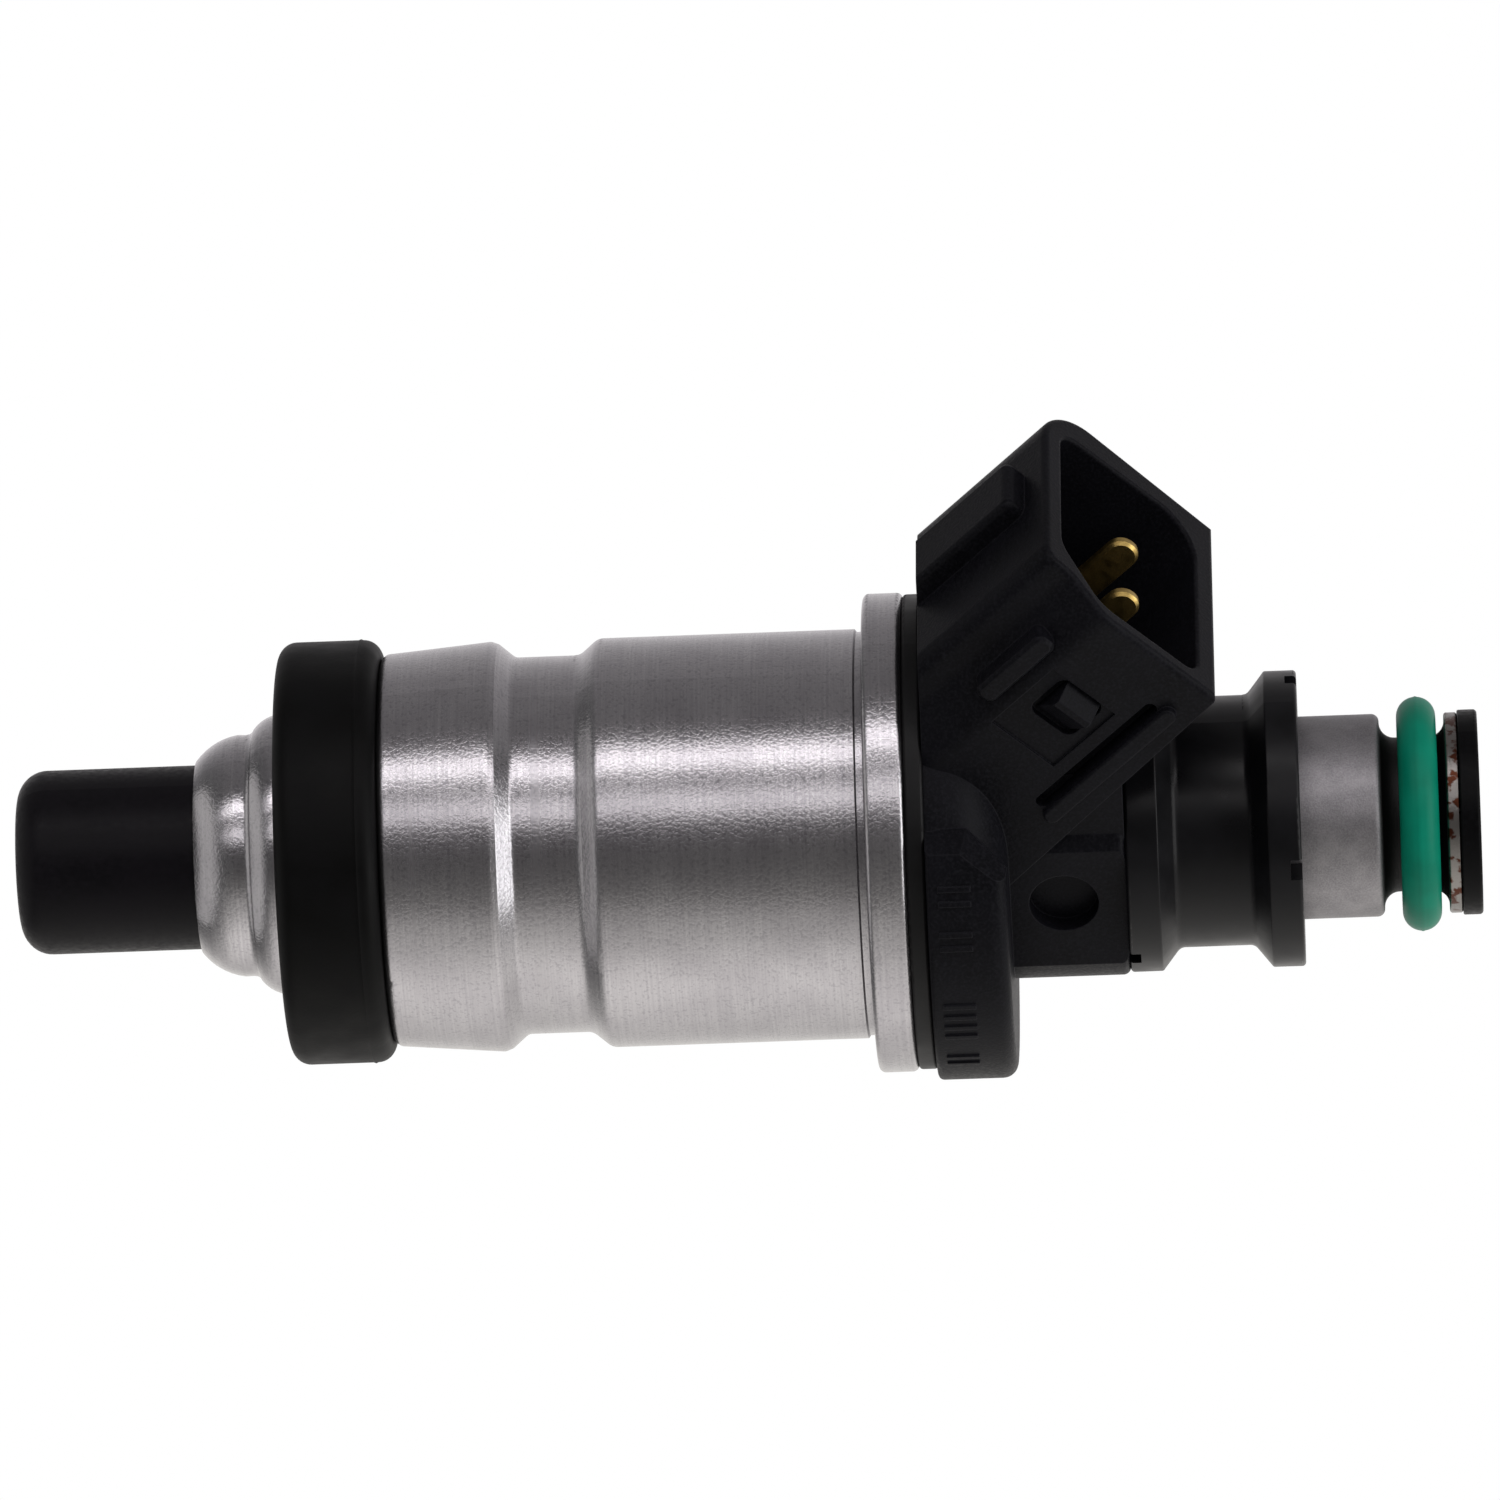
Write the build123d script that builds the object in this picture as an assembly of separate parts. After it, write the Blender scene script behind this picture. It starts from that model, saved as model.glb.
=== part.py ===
from build123d import *

import math
import os

# A top-feed port fuel injector. Heights are measured up the injector's axis from the nozzle
# tip; save() then shifts every piece so that the origin is at mid-height of the manifold seal.
# +Z points to the fuel inlet, +X to the side the electrical socket leans to. Millimetres.

# ---------------------------------------------------------------- driving dimensions
# Outside of the injector, from the nozzle tip up
CAP_R = 4.85
CAP_LENGTH = 9.5
CAP_TIP_ROUND = 1.6
CAP_SPIGOT_STEP = 0.3
SKIRT_LENGTH = 4.56
SEAL_R = 11.18
SEAL_HEIGHT = 5.4
SEAL_ROUND = 0.95
SEAL_SEAT_WALL = 2.0
SHOULDER_R = 10.3
SHOULDER_TOP_R = 10.8
SHOULDER_LENGTH = 6.19
GROOVE_R = 9.92
GROOVE_LENGTH = 5.25
BARREL_R = 10.77
BARREL_LENGTH = 14.0
FLANGE_R = 12.6
FLANGE_THICKNESS = 2.1
DUST_SEAL_R = 12.5
DUST_SEAL_THICKNESS = 1.0
PAD_R = 13.1
PAD_END_AZIMUTH = 51
DRUM_HEIGHT = 4.2
NECK_R = 7.9
NECK_FLAT = 6.95
NECK_LENGTH = 6.1
CUSHION_R = 7.78
CUSHION_WAIST_R = 6.58
CUSHION_LENGTH = 9.2
TUBE_R = 5.33
TUBE_LENGTH = 4.25
O_RING_R = 6.18
O_RING_GROOVE_R = 4.05
O_RING_GROOVE_LENGTH = 3.4
O_RING_OFFSET = 0.25
LIP_R = 5.27
LIP_LENGTH = 0.7
WASHER_R = 5.39
WASHER_THICKNESS = 1.05

# Valve and solenoid, inside
NOZZLE_BODY_R = 5.4
NOZZLE_NECK_R = 3.3
NEEDLE_GUIDE_R = 2.0
ORIFICE_R = 0.55
STOP_PLATE_THICKNESS = 1.4
LIFT = 0.15
ARMATURE_R = 4.15
ARMATURE_LENGTH = 7.8
AIR_GAP = 0.3
CORE_OVERHANG = 0.1
CORE_BORE_R = 2.4
INLET_BORE_R = 3.1
COIL_CHAMBER_R = 8.6
POLE_LENGTH = 1.6
YOKE_R = 11.0
YOKE_THICKNESS = 1.5
BOBBIN_WALL = 0.7
BOBBIN_FLANGE = 2.0
BOBBIN_SEAL_SECTION_R = 0.6
SPRING_WIRE_R = 0.25
SPRING_R = 1.75
SPRING_TURNS = 7

# Electrical socket, leaning up at SOCKET_LEAN from the injector's cross-plane. It lies along
# its blades, which run from the bend above the coil out to the mouth. Its +Y flank has the hump
# and the valley, its -Y flank is plain and drafted, up to the rounded back corner. Widths are
# measured from the injector's mid-plane, depths from the plane that the back rail stands on.
SOCKET_LEAN = 45.0
SOCKET_RUN = 14.76
BEND_RISE = 1.33
SOCKET_DEPTH = 12.65
SOCKET_BACK = 0.6
SOCKET_NEAR_WIDTH = 7.15
SOCKET_FAR_WIDTH = 7.3
SOCKET_FAR_DRAFT = 0.95
SOCKET_HUMP_WIDTH = 5.3
SOCKET_HUMP_DEPTH = 1.9
SOCKET_VALLEY_DEPTH = 2.2
SOCKET_FRONT_DRAFT = 0.45
SOCKET_NEAR_WALL = 1.0
SOCKET_FAR_WALL = 1.7
SOCKET_BACK_WALL = 1.2
SOCKET_FRONT_WALL = 1.4
SOCKET_RIM_ROUND = 0.35
SOCKET_CAVITY_DEPTH = 9.0
KEY_RAIL_WIDTH = 3.65
KEY_RAIL_HEIGHT = 1.2
KEY_RAIL_OFFSET = -1.4
KEY_RAIL_BELOW_MOUTH = 1.6
SADDLE_HALF_WIDTH = 6.45
BLADE_WIDTH = 1.8
BLADE_THICKNESS = 0.64
BLADE_PITCH = 4.3
BLADE_CENTRE = 7.4
BLADE_BELOW_MOUTH = 0.7
BLADE_BEVEL = 0.16
LEG_X = 7.0
LEG_WIDTH = 1.2

# Clearances between pieces
NEEDLE_CLEARANCE = 0.03
SEAT_CLEARANCE = 0.01
ARMATURE_CLEARANCE = 0.08
BOBBIN_CLEARANCE = 0.15
ASSEMBLY_CLEARANCE = 0.02
CAP_CLEARANCE = 0.08

# ---------------------------------------------------------------- heights that follow
SKIRT_Z = CAP_LENGTH
SEAL_Z = SKIRT_Z + SKIRT_LENGTH
SHOULDER_Z = SEAL_Z + SEAL_HEIGHT
GROOVE_Z = SHOULDER_Z + SHOULDER_LENGTH
BARREL_Z = GROOVE_Z + GROOVE_LENGTH
FLANGE_Z = BARREL_Z + BARREL_LENGTH
DUST_SEAL_Z = FLANGE_Z + FLANGE_THICKNESS
DRUM_Z = DUST_SEAL_Z + DUST_SEAL_THICKNESS
NECK_Z = DRUM_Z + DRUM_HEIGHT
CUSHION_Z = NECK_Z + NECK_LENGTH
TUBE_Z = CUSHION_Z + CUSHION_LENGTH
O_RING_GROOVE_Z = TUBE_Z + TUBE_LENGTH
LIP_Z = O_RING_GROOVE_Z + O_RING_GROOVE_LENGTH
WASHER_Z = LIP_Z + LIP_LENGTH
ORIGIN_Z = SEAL_Z + SEAL_HEIGHT / 2

# The valve stack: nozzle body, stop plate, pole ledge, coil chamber
SEAL_SEAT_R = NOZZLE_BODY_R + SEAL_SEAT_WALL
CORE_R = ARMATURE_R + CORE_OVERHANG
SKIRT_MOUTH_R = CAP_R + CAP_CLEARANCE
NOZZLE_FACE_Z = 2.4
NOZZLE_SHOULDER_Z = SKIRT_Z + 0.7
NOZZLE_CHAMFER = 0.7
STOP_PLATE_Z = SHOULDER_Z + 2.8
POLE_Z = STOP_PLATE_Z + STOP_PLATE_THICKNESS
CHAMBER_Z = POLE_Z + POLE_LENGTH
ARMATURE_Z = POLE_Z + 0.6
CORE_Z = ARMATURE_Z + ARMATURE_LENGTH + AIR_GAP
YOKE_TOP_Z = DUST_SEAL_Z - 0.1
YOKE_Z = YOKE_TOP_Z - YOKE_THICKNESS
BOBBIN_TOP_Z = YOKE_Z - 0.1
BOBBIN_BORE_R = CORE_R + BOBBIN_CLEARANCE
BOBBIN_HUB_R = BOBBIN_BORE_R + BOBBIN_WALL
BOBBIN_R = COIL_CHAMBER_R - 0.1
WINDING_R = BOBBIN_R - 0.35

# Seat cone at 45 degrees: its height at radius r is SEAT_APEX_Z + r
SEAT_APEX_Z = NOZZLE_FACE_Z + 1.0
COLLAR_R = 2.6
COLLAR_THICKNESS = 0.7
COLLAR_POCKET_R = 3.0
NEEDLE_SHANK_R = 1.5
SPRING_SEAT_Z = ARMATURE_Z + 3.6
SPRING_TOP_Z = CORE_Z + 4.8
ADJUSTER_LENGTH = 11.5
FILTER_Z = TUBE_Z - 1.5
FILTER_COLLAR_LENGTH = 1.4
FILTER_COLLAR_Z = LIP_Z - FILTER_COLLAR_LENGTH


# ---------------------------------------------------------------- helpers
def outline(corners, plane=Plane.XZ):
    """A closed face on a plane through (x, y) or (x, y, rounding) corners."""
    points = [plane.from_local_coords(Vector(c[0], c[1])) for c in corners]
    rounds = [c[2] if len(c) > 2 else 0.0 for c in corners]
    arcs = []
    for i, point in enumerate(points):
        before = points[i - 1] - point
        after = points[(i + 1) % len(points)] - point
        if rounds[i] == 0:
            arcs.append((point, None, point))
            continue
        half = math.radians(before.get_angle(after)) / 2
        reach = rounds[i] / math.tan(half)
        inward = (before.normalized() + after.normalized()).normalized()
        middle = point + inward * (rounds[i] / math.sin(half) - rounds[i])
        arcs.append((point + before.normalized() * reach, middle, point + after.normalized() * reach))
    edges = []
    for i, (start, middle, end) in enumerate(arcs):
        if middle is not None:
            edges.append(ThreePointArc(start, middle, end))
        following = arcs[(i + 1) % len(arcs)][0]
        if (following - end).length > 1e-6:
            edges.append(Line(end, following))
    return make_face(edges)


def turned(*corners):
    """A turned piece: the outline's x is the radius, spun about the Z axis."""
    return revolve(outline(corners), Axis.Z)


def drum(radius, low, high):
    """A plain cylinder between two heights."""
    return Pos(0, 0, low) * Cylinder(radius, high - low, align=(Align.CENTER, Align.CENTER, Align.MIN))


def block(x_low, x_high, y_low, y_high, z_low, z_high):
    """A box between its low and high corners."""
    size = Box(x_high - x_low, y_high - y_low, z_high - z_low, align=(Align.MIN,) * 3)
    return Pos(x_low, y_low, z_low) * size


def ring(section_r, centre_r, z):
    """An O-ring that lies flat at height z."""
    return Pos(0, 0, z) * Torus(centre_r, section_r)


def save(shape, name):
    """Write one piece, moved so that the origin is at the manifold seal's mid-height."""
    export_step(Pos(0, 0, -ORIGIN_Z) * shape, f"parts/{name}.step")


# ---------------------------------------------------------------- nozzle end
def pintle_cap():
    """Plastic cap that clips over the nozzle body's neck and shields the pintle."""
    inner_r = NOZZLE_NECK_R + ASSEMBLY_CLEARANCE
    rear_z = SKIRT_Z + 0.5
    mouth_r = 2.3
    shell = turned(
        (mouth_r + 0.5, 0),
        (CAP_R, 0, CAP_TIP_ROUND),
        (CAP_R, SKIRT_Z),
        (CAP_R - CAP_SPIGOT_STEP, SKIRT_Z),
        (CAP_R - CAP_SPIGOT_STEP, rear_z),
        (inner_r, rear_z),
        (inner_r, NOZZLE_FACE_Z),
        (mouth_r, NOZZLE_FACE_Z),
        (mouth_r, 0.6),
    )
    return shell - clip_bead(ASSEMBLY_CLEARANCE)


def clip_bead(clearance):
    """The bead round the nozzle neck that the cap clips over, grown by a clearance."""
    middle = (NOZZLE_FACE_Z + NOZZLE_SHOULDER_Z) / 2
    crest = NOZZLE_NECK_R + 0.3 + clearance
    root = NOZZLE_NECK_R - 0.3
    return turned(
        (root, middle - 0.7 - clearance),
        (crest, middle - 0.25 - clearance),
        (crest, middle + 0.25 + clearance),
        (root, middle + 0.7 + clearance),
    )


def nozzle_body():
    """Hardened valve body: neck, shoulder, guide bore, seat cone and metering orifice."""
    groove_z = nozzle_o_ring_z()
    solid = turned(
        (ORIFICE_R, SEAT_APEX_Z - 0.4),
        (1.5, NOZZLE_FACE_Z),
        (NOZZLE_NECK_R, NOZZLE_FACE_Z, 0.4),
        (NOZZLE_NECK_R, NOZZLE_SHOULDER_Z),
        (SKIRT_MOUTH_R - ASSEMBLY_CLEARANCE, NOZZLE_SHOULDER_Z),
        (NOZZLE_BODY_R, NOZZLE_SHOULDER_Z + NOZZLE_CHAMFER),
        (NOZZLE_BODY_R, groove_z - 0.9),
        (NOZZLE_BODY_R - 0.8, groove_z - 0.9),
        (NOZZLE_BODY_R - 0.8, groove_z + 0.9),
        (NOZZLE_BODY_R, groove_z + 0.9),
        (NOZZLE_BODY_R, STOP_PLATE_Z),
        (COLLAR_POCKET_R, STOP_PLATE_Z),
        (COLLAR_POCKET_R, STOP_PLATE_Z - COLLAR_THICKNESS - LIFT - 0.4),
        (NEEDLE_GUIDE_R, STOP_PLATE_Z - COLLAR_THICKNESS - LIFT - 0.4),
        (NEEDLE_GUIDE_R, SEAT_APEX_Z + NEEDLE_GUIDE_R),
        (ORIFICE_R, SEAT_APEX_Z + ORIFICE_R),
    )
    return solid + clip_bead(0)


def nozzle_o_ring_z():
    """Height of the O-ring round the nozzle body, level with the manifold seal."""
    return SEAL_Z + SEAL_HEIGHT / 2


def nozzle_body_o_ring():
    """Seals the nozzle body in the housing's bore."""
    groove_r = NOZZLE_BODY_R - 0.8
    section = (NOZZLE_BODY_R + ASSEMBLY_CLEARANCE - groove_r) / 2
    return ring(section, groove_r + section, nozzle_o_ring_z())


def stop_plate():
    """Slotted washer over the needle's collar: its underside limits the lift."""
    plate = drum(NOZZLE_BODY_R, STOP_PLATE_Z, POLE_Z)
    gap_r = NEEDLE_SHANK_R + 0.3
    hole = drum(gap_r, STOP_PLATE_Z, POLE_Z)
    slot = block(-NOZZLE_BODY_R - 1, 0, -gap_r, gap_r, STOP_PLATE_Z, POLE_Z)
    return plate - hole - slot


def needle():
    """Pintle needle: pintle, seat cone, two square guide lands, lift collar and stem."""
    pintle_r = ORIFICE_R - 0.1
    seat_z = SEAT_APEX_Z + SEAT_CLEARANCE
    land_r = NEEDLE_GUIDE_R - NEEDLE_CLEARANCE
    collar_top = STOP_PLATE_Z - LIFT - SEAT_CLEARANCE
    stem_top = SPRING_SEAT_Z
    stem = turned(
        (0, NOZZLE_FACE_Z - 0.4),
        (pintle_r, NOZZLE_FACE_Z - 0.4),
        (pintle_r - 0.1, NOZZLE_FACE_Z + 0.2),
        (pintle_r, NOZZLE_FACE_Z + 0.6),
        (pintle_r, seat_z + pintle_r),
        (NEEDLE_SHANK_R, seat_z + NEEDLE_SHANK_R),
        (NEEDLE_SHANK_R, stem_top),
        (0, stem_top),
    )
    collar = drum(COLLAR_R, collar_top - COLLAR_THICKNESS, collar_top)
    flat = land_r - 0.22
    square = block(-flat, flat, -flat, flat, 0, STOP_PLATE_Z)
    lands = Part()
    for low in (NOZZLE_SHOULDER_Z - 3.6, STOP_PLATE_Z - 6.4):
        lands += drum(land_r, low, low + 2.5) & square
    return stem + collar + lands


def armature():
    """Soft-iron plunger: pressed on the needle's stem, bored for the spring, cross-drilled for fuel."""
    top = ARMATURE_Z + ARMATURE_LENGTH
    plunger = turned(
        (NEEDLE_SHANK_R, ARMATURE_Z),
        (ARMATURE_R, ARMATURE_Z, 0.3),
        (ARMATURE_R, top, 0.3),
        (CORE_BORE_R, top),
        (CORE_BORE_R, SPRING_SEAT_Z),
        (NEEDLE_SHANK_R, SPRING_SEAT_Z),
    )
    drill = Pos(0, 0, SPRING_SEAT_Z + 0.9) * Rot(90, 0, 0) * Cylinder(0.7, 2 * ARMATURE_R + 1)
    return plunger - drill


def return_spring():
    """Closing spring between the armature and the adjuster, cut flat at both ends."""
    height = SPRING_TOP_Z - SPRING_SEAT_Z - 2 * SPRING_WIRE_R
    start_z = SPRING_SEAT_Z + SPRING_WIRE_R
    helix = Pos(0, 0, start_z) * Helix(height / SPRING_TURNS, height, SPRING_R)
    section = Plane(origin=helix @ 0, z_dir=helix % 0) * Circle(SPRING_WIRE_R)
    return sweep(section, path=helix, is_frenet=True)


# ---------------------------------------------------------------- housing and seals
def solenoid_housing():
    """Turned casing: rolled skirt, seal seat, shoulder, groove, barrel and flange, hollow for the coil."""
    bore_r = NOZZLE_BODY_R + ASSEMBLY_CLEARANCE
    pole_r = ARMATURE_R + ARMATURE_CLEARANCE
    yoke_seat_r = YOKE_R + ASSEMBLY_CLEARANCE
    undercut = 0.15
    casing = turned(
        (bore_r, SEAL_Z),
        (SEAL_SEAT_R, SEAL_Z),
        (SEAL_SEAT_R, SHOULDER_Z),
        (SHOULDER_R, SHOULDER_Z, 0.5),
        (SHOULDER_TOP_R, GROOVE_Z - 0.4, 0.5),
        (SHOULDER_TOP_R - undercut, GROOVE_Z),
        (GROOVE_R, GROOVE_Z + 0.85, 0.5),
        (GROOVE_R, BARREL_Z - 1.0, 0.8),
        (BARREL_R, BARREL_Z, 0.8),
        (BARREL_R, FLANGE_Z - 0.5),
        (BARREL_R - undercut, FLANGE_Z - 0.4),
        (BARREL_R - undercut, FLANGE_Z),
        (FLANGE_R, FLANGE_Z, 0.35),
        (FLANGE_R, DUST_SEAL_Z, 0.35),
        (yoke_seat_r, DUST_SEAL_Z),
        (yoke_seat_r, YOKE_Z),
        (COIL_CHAMBER_R, YOKE_Z),
        (COIL_CHAMBER_R, CHAMBER_Z),
        (pole_r, CHAMBER_Z),
        (pole_r, POLE_Z),
        (bore_r, POLE_Z),
    )
    return casing + rolled_skirt(bore_r)


def rolled_skirt(bore_r):
    """The skirt rolled in under the nozzle body: a large bead, a shallow valley and a second bead."""
    edge_r = SKIRT_MOUTH_R + 0.15
    crest_r = SEAL_SEAT_R - 1.03
    foot = Vector(edge_r, 0, SKIRT_Z)
    crest = Vector(crest_r, 0, SKIRT_Z + 2.2)
    valley = Vector(crest_r - 0.02, 0, SKIRT_Z + 2.65)
    rise = Vector(crest_r + 0.3, 0, SKIRT_Z + 3.1)
    land = Vector(SEAL_SEAT_R, 0, SEAL_Z)
    outside = [
        ThreePointArc(foot, Vector(crest_r - 0.36, 0, SKIRT_Z + 1.1), crest),
        Line(crest, valley),
        ThreePointArc(valley, Vector(crest_r + 0.06, 0, SKIRT_Z + 2.92), rise),
        ThreePointArc(rise, Vector(SEAL_SEAT_R - 0.32, 0, SKIRT_Z + 3.55), land),
    ]
    inside = Polyline(
        land,
        Vector(bore_r, 0, SEAL_Z),
        Vector(bore_r, 0, NOZZLE_SHOULDER_Z + NOZZLE_CHAMFER),
        Vector(SKIRT_MOUTH_R, 0, NOZZLE_SHOULDER_Z),
        Vector(SKIRT_MOUTH_R, 0, SKIRT_Z),
        foot,
    )
    return revolve(make_face(outside + [inside]), Axis.Z)


def manifold_seal_ring():
    """Thick rubber ring that seals the injector in the intake manifold."""
    return turned(
        (SEAL_SEAT_R, SEAL_Z, 0.3),
        (SEAL_R, SEAL_Z, SEAL_ROUND),
        (SEAL_R, SHOULDER_Z, SEAL_ROUND),
        (SEAL_SEAT_R, SHOULDER_Z, 0.3),
    )


def dust_seal_ring():
    """Thin ring between the housing's flange and the connector moulding."""
    return turned(
        (hub_r() + 0.1, DUST_SEAL_Z),
        (DUST_SEAL_R, DUST_SEAL_Z, 0.2),
        (DUST_SEAL_R, DRUM_Z, 0.2),
        (hub_r() + 0.1, DRUM_Z),
    )


def hub_r():
    """Radius of the moulding's hub, which passes through the dust seal."""
    return YOKE_R - 2.1


# ---------------------------------------------------------------- core, coil and spring adjuster
def core_tube():
    """Fixed core and inlet tube in one piece, with the O-ring groove and the end lip."""
    return turned(
        (CORE_BORE_R, CORE_Z),
        (CORE_R, CORE_Z, 0.2),
        (CORE_R, YOKE_TOP_Z),
        (TUBE_R, YOKE_TOP_Z),
        (TUBE_R, O_RING_GROOVE_Z, 0.4),
        (O_RING_GROOVE_R, O_RING_GROOVE_Z, 0.8),
        (O_RING_GROOVE_R, LIP_Z, 0.8),
        (LIP_R, LIP_Z, 0.15),
        (LIP_R, WASHER_Z, 0.15),
        (INLET_BORE_R, WASHER_Z),
        (INLET_BORE_R, FILTER_Z),
        (CORE_BORE_R, FILTER_Z - 0.7),
    )


def terminal_window(clearance):
    """The opening in the yoke plate for both terminal legs, less a clearance."""
    x_reach = LEG_WIDTH / 2 + 0.5 - clearance
    y_reach = (BLADE_PITCH + BLADE_THICKNESS) / 2 + 0.5 - clearance
    return block(LEG_X - x_reach, LEG_X + x_reach, -y_reach, y_reach, YOKE_Z, DUST_SEAL_Z + 0.5)


def yoke_plate():
    """Steel cover that carries the magnetic flux from the core to the housing."""
    plate = drum(YOKE_R, YOKE_Z, YOKE_TOP_Z) - drum(CORE_R, YOKE_Z, YOKE_TOP_Z)
    return plate - terminal_window(0)


def coil_bobbin():
    """Plastic spool with a seal groove in each end and sockets for the terminal legs."""
    lower_groove_r = BOBBIN_BORE_R + 0.15 + 2 * BOBBIN_SEAL_SECTION_R
    upper_groove_r = CORE_R + 2 * BOBBIN_SEAL_SECTION_R
    groove_depth = 2 * BOBBIN_SEAL_SECTION_R
    spool = turned(
        (lower_groove_r, CHAMBER_Z),
        (BOBBIN_R, CHAMBER_Z),
        (BOBBIN_R, CHAMBER_Z + BOBBIN_FLANGE),
        (BOBBIN_HUB_R, CHAMBER_Z + BOBBIN_FLANGE),
        (BOBBIN_HUB_R, BOBBIN_TOP_Z - BOBBIN_FLANGE),
        (BOBBIN_R, BOBBIN_TOP_Z - BOBBIN_FLANGE),
        (BOBBIN_R, BOBBIN_TOP_Z),
        (upper_groove_r, BOBBIN_TOP_Z),
        (upper_groove_r, BOBBIN_TOP_Z - groove_depth),
        (BOBBIN_BORE_R, BOBBIN_TOP_Z - groove_depth),
        (BOBBIN_BORE_R, CHAMBER_Z + groove_depth),
        (lower_groove_r, CHAMBER_Z + groove_depth),
    )
    return spool - terminal(1) - terminal(-1)


def bobbin_lower_o_ring():
    """Keeps fuel out of the coil at the housing's floor."""
    groove_r = BOBBIN_BORE_R + 0.15 + 2 * BOBBIN_SEAL_SECTION_R
    return ring(BOBBIN_SEAL_SECTION_R, groove_r - BOBBIN_SEAL_SECTION_R, CHAMBER_Z + BOBBIN_SEAL_SECTION_R)


def bobbin_upper_o_ring():
    """Keeps fuel out of the coil round the fixed core."""
    return ring(BOBBIN_SEAL_SECTION_R, CORE_R + BOBBIN_SEAL_SECTION_R, BOBBIN_TOP_Z - BOBBIN_SEAL_SECTION_R)


def coil_winding():
    """The enamelled copper winding, as the block of wire between the spool's flanges."""
    low = CHAMBER_Z + BOBBIN_FLANGE
    high = BOBBIN_TOP_Z - BOBBIN_FLANGE
    return drum(WINDING_R, low, high) - drum(BOBBIN_HUB_R, low, high)


def spring_adjuster():
    """Slotted tube pressed into the core's bore: its depth sets the spring's preload."""
    top = SPRING_TOP_Z + ADJUSTER_LENGTH
    tube = drum(CORE_BORE_R, SPRING_TOP_Z, top) - drum(CORE_BORE_R - 0.9, SPRING_TOP_Z, top)
    return tube - block(-0.35, 0.35, 0, CORE_BORE_R + 1, SPRING_TOP_Z, top)


# ---------------------------------------------------------------- electrical socket
SOCKET_ANGLE = math.radians(SOCKET_LEAN)
MOUTH_WARDS = Vector(math.cos(SOCKET_ANGLE), 0, math.sin(SOCKET_ANGLE))
FRONT_WARDS = Vector(-math.sin(SOCKET_ANGLE), 0, math.cos(SOCKET_ANGLE))
BLADE_BEND = Vector(LEG_X, 0, DRUM_Z + BEND_RISE)
SOCKET_FRAME = Plane(
    origin=BLADE_BEND + MOUTH_WARDS * SOCKET_RUN - FRONT_WARDS * BLADE_CENTRE,
    x_dir=(0, 1, 0),
    z_dir=MOUTH_WARDS,
)
# In the socket's own frame x is across the injector, y runs from the socket's back to its
# front (the inlet side) and z points out of the mouth, which is at z = 0.


def socket_prism(corners, low, high):
    """A section of the socket, extruded between two depths along its mouth direction."""
    face = Pos(0, 0, low) * outline(corners, Plane.XY)
    return extrude(face, high - low, dir=(0, 0, 1))


def socket_height_at(y, x_world):
    """World height where a line along the mouth direction at socket depth y reaches a world x."""
    start = SOCKET_FRAME.from_local_coords(Vector(0, y, 0))
    return start.Z + (x_world - start.X) * math.tan(SOCKET_ANGLE)


def socket_length():
    """How far the socket runs back from its mouth: its front face ends near the injector's axis."""
    front = SOCKET_FRAME.from_local_coords(Vector(0, SOCKET_DEPTH, 0))
    return (front.X - 0.13 * PAD_R) / math.cos(SOCKET_ANGLE)


def socket_shell():
    """The socket's outside, with its drafted front face, its cavity and the rounded rim of its mouth."""
    near = SOCKET_NEAR_WIDTH
    hump = SOCKET_HUMP_WIDTH
    valley = SOCKET_BACK + SOCKET_HUMP_DEPTH
    deepest = SOCKET_DEPTH + SOCKET_FRONT_DRAFT
    section = [
        (hump, SOCKET_BACK, 1.0),
        (hump + 0.3, valley, 1.4),
        (near, valley + SOCKET_VALLEY_DEPTH, 1.8),
        (near, deepest),
        (-SOCKET_FAR_WIDTH, deepest),
        (-SOCKET_FAR_WIDTH - SOCKET_FAR_DRAFT, SOCKET_BACK, 3.1),
    ]
    length = socket_length()
    draft = outline([(SOCKET_DEPTH, 0), (deepest, 0), (deepest, -length)], Plane.YZ)
    outside = socket_prism(section, -length, 0)
    outside -= Pos(-2 * near, 0, 0) * extrude(draft, 4 * near, dir=(1, 0, 0))
    socket = outside - socket_cavity()
    rim = socket.faces().filter_by(Axis.Z).sort_by(Axis.Z)[-1]
    socket = fillet(rim.outer_wire().edges(), SOCKET_RIM_ROUND)
    rim = socket.faces().filter_by(Axis.Z).sort_by(Axis.Z)[-1]
    return fillet(rim.inner_wires()[0].edges(), 0.2)


def socket_cavity():
    """The hollow that takes the harness plug, with one corner cut off under the valley."""
    near = SOCKET_NEAR_WIDTH - SOCKET_NEAR_WALL
    far = SOCKET_FAR_WIDTH + SOCKET_FAR_DRAFT / 2 - SOCKET_FAR_WALL
    back = SOCKET_BACK + SOCKET_BACK_WALL
    front = SOCKET_DEPTH - SOCKET_FRONT_WALL
    section = [
        (0.48 * SOCKET_NEAR_WIDTH, back, 1.6),
        (near, SOCKET_BACK + SOCKET_HUMP_DEPTH + SOCKET_VALLEY_DEPTH - 0.2, 2.2),
        (near, front, 0.9),
        (-far, front, 2.6),
        (-far, back, 1.1),
    ]
    return socket_prism(section, -SOCKET_CAVITY_DEPTH, 1)


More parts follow.
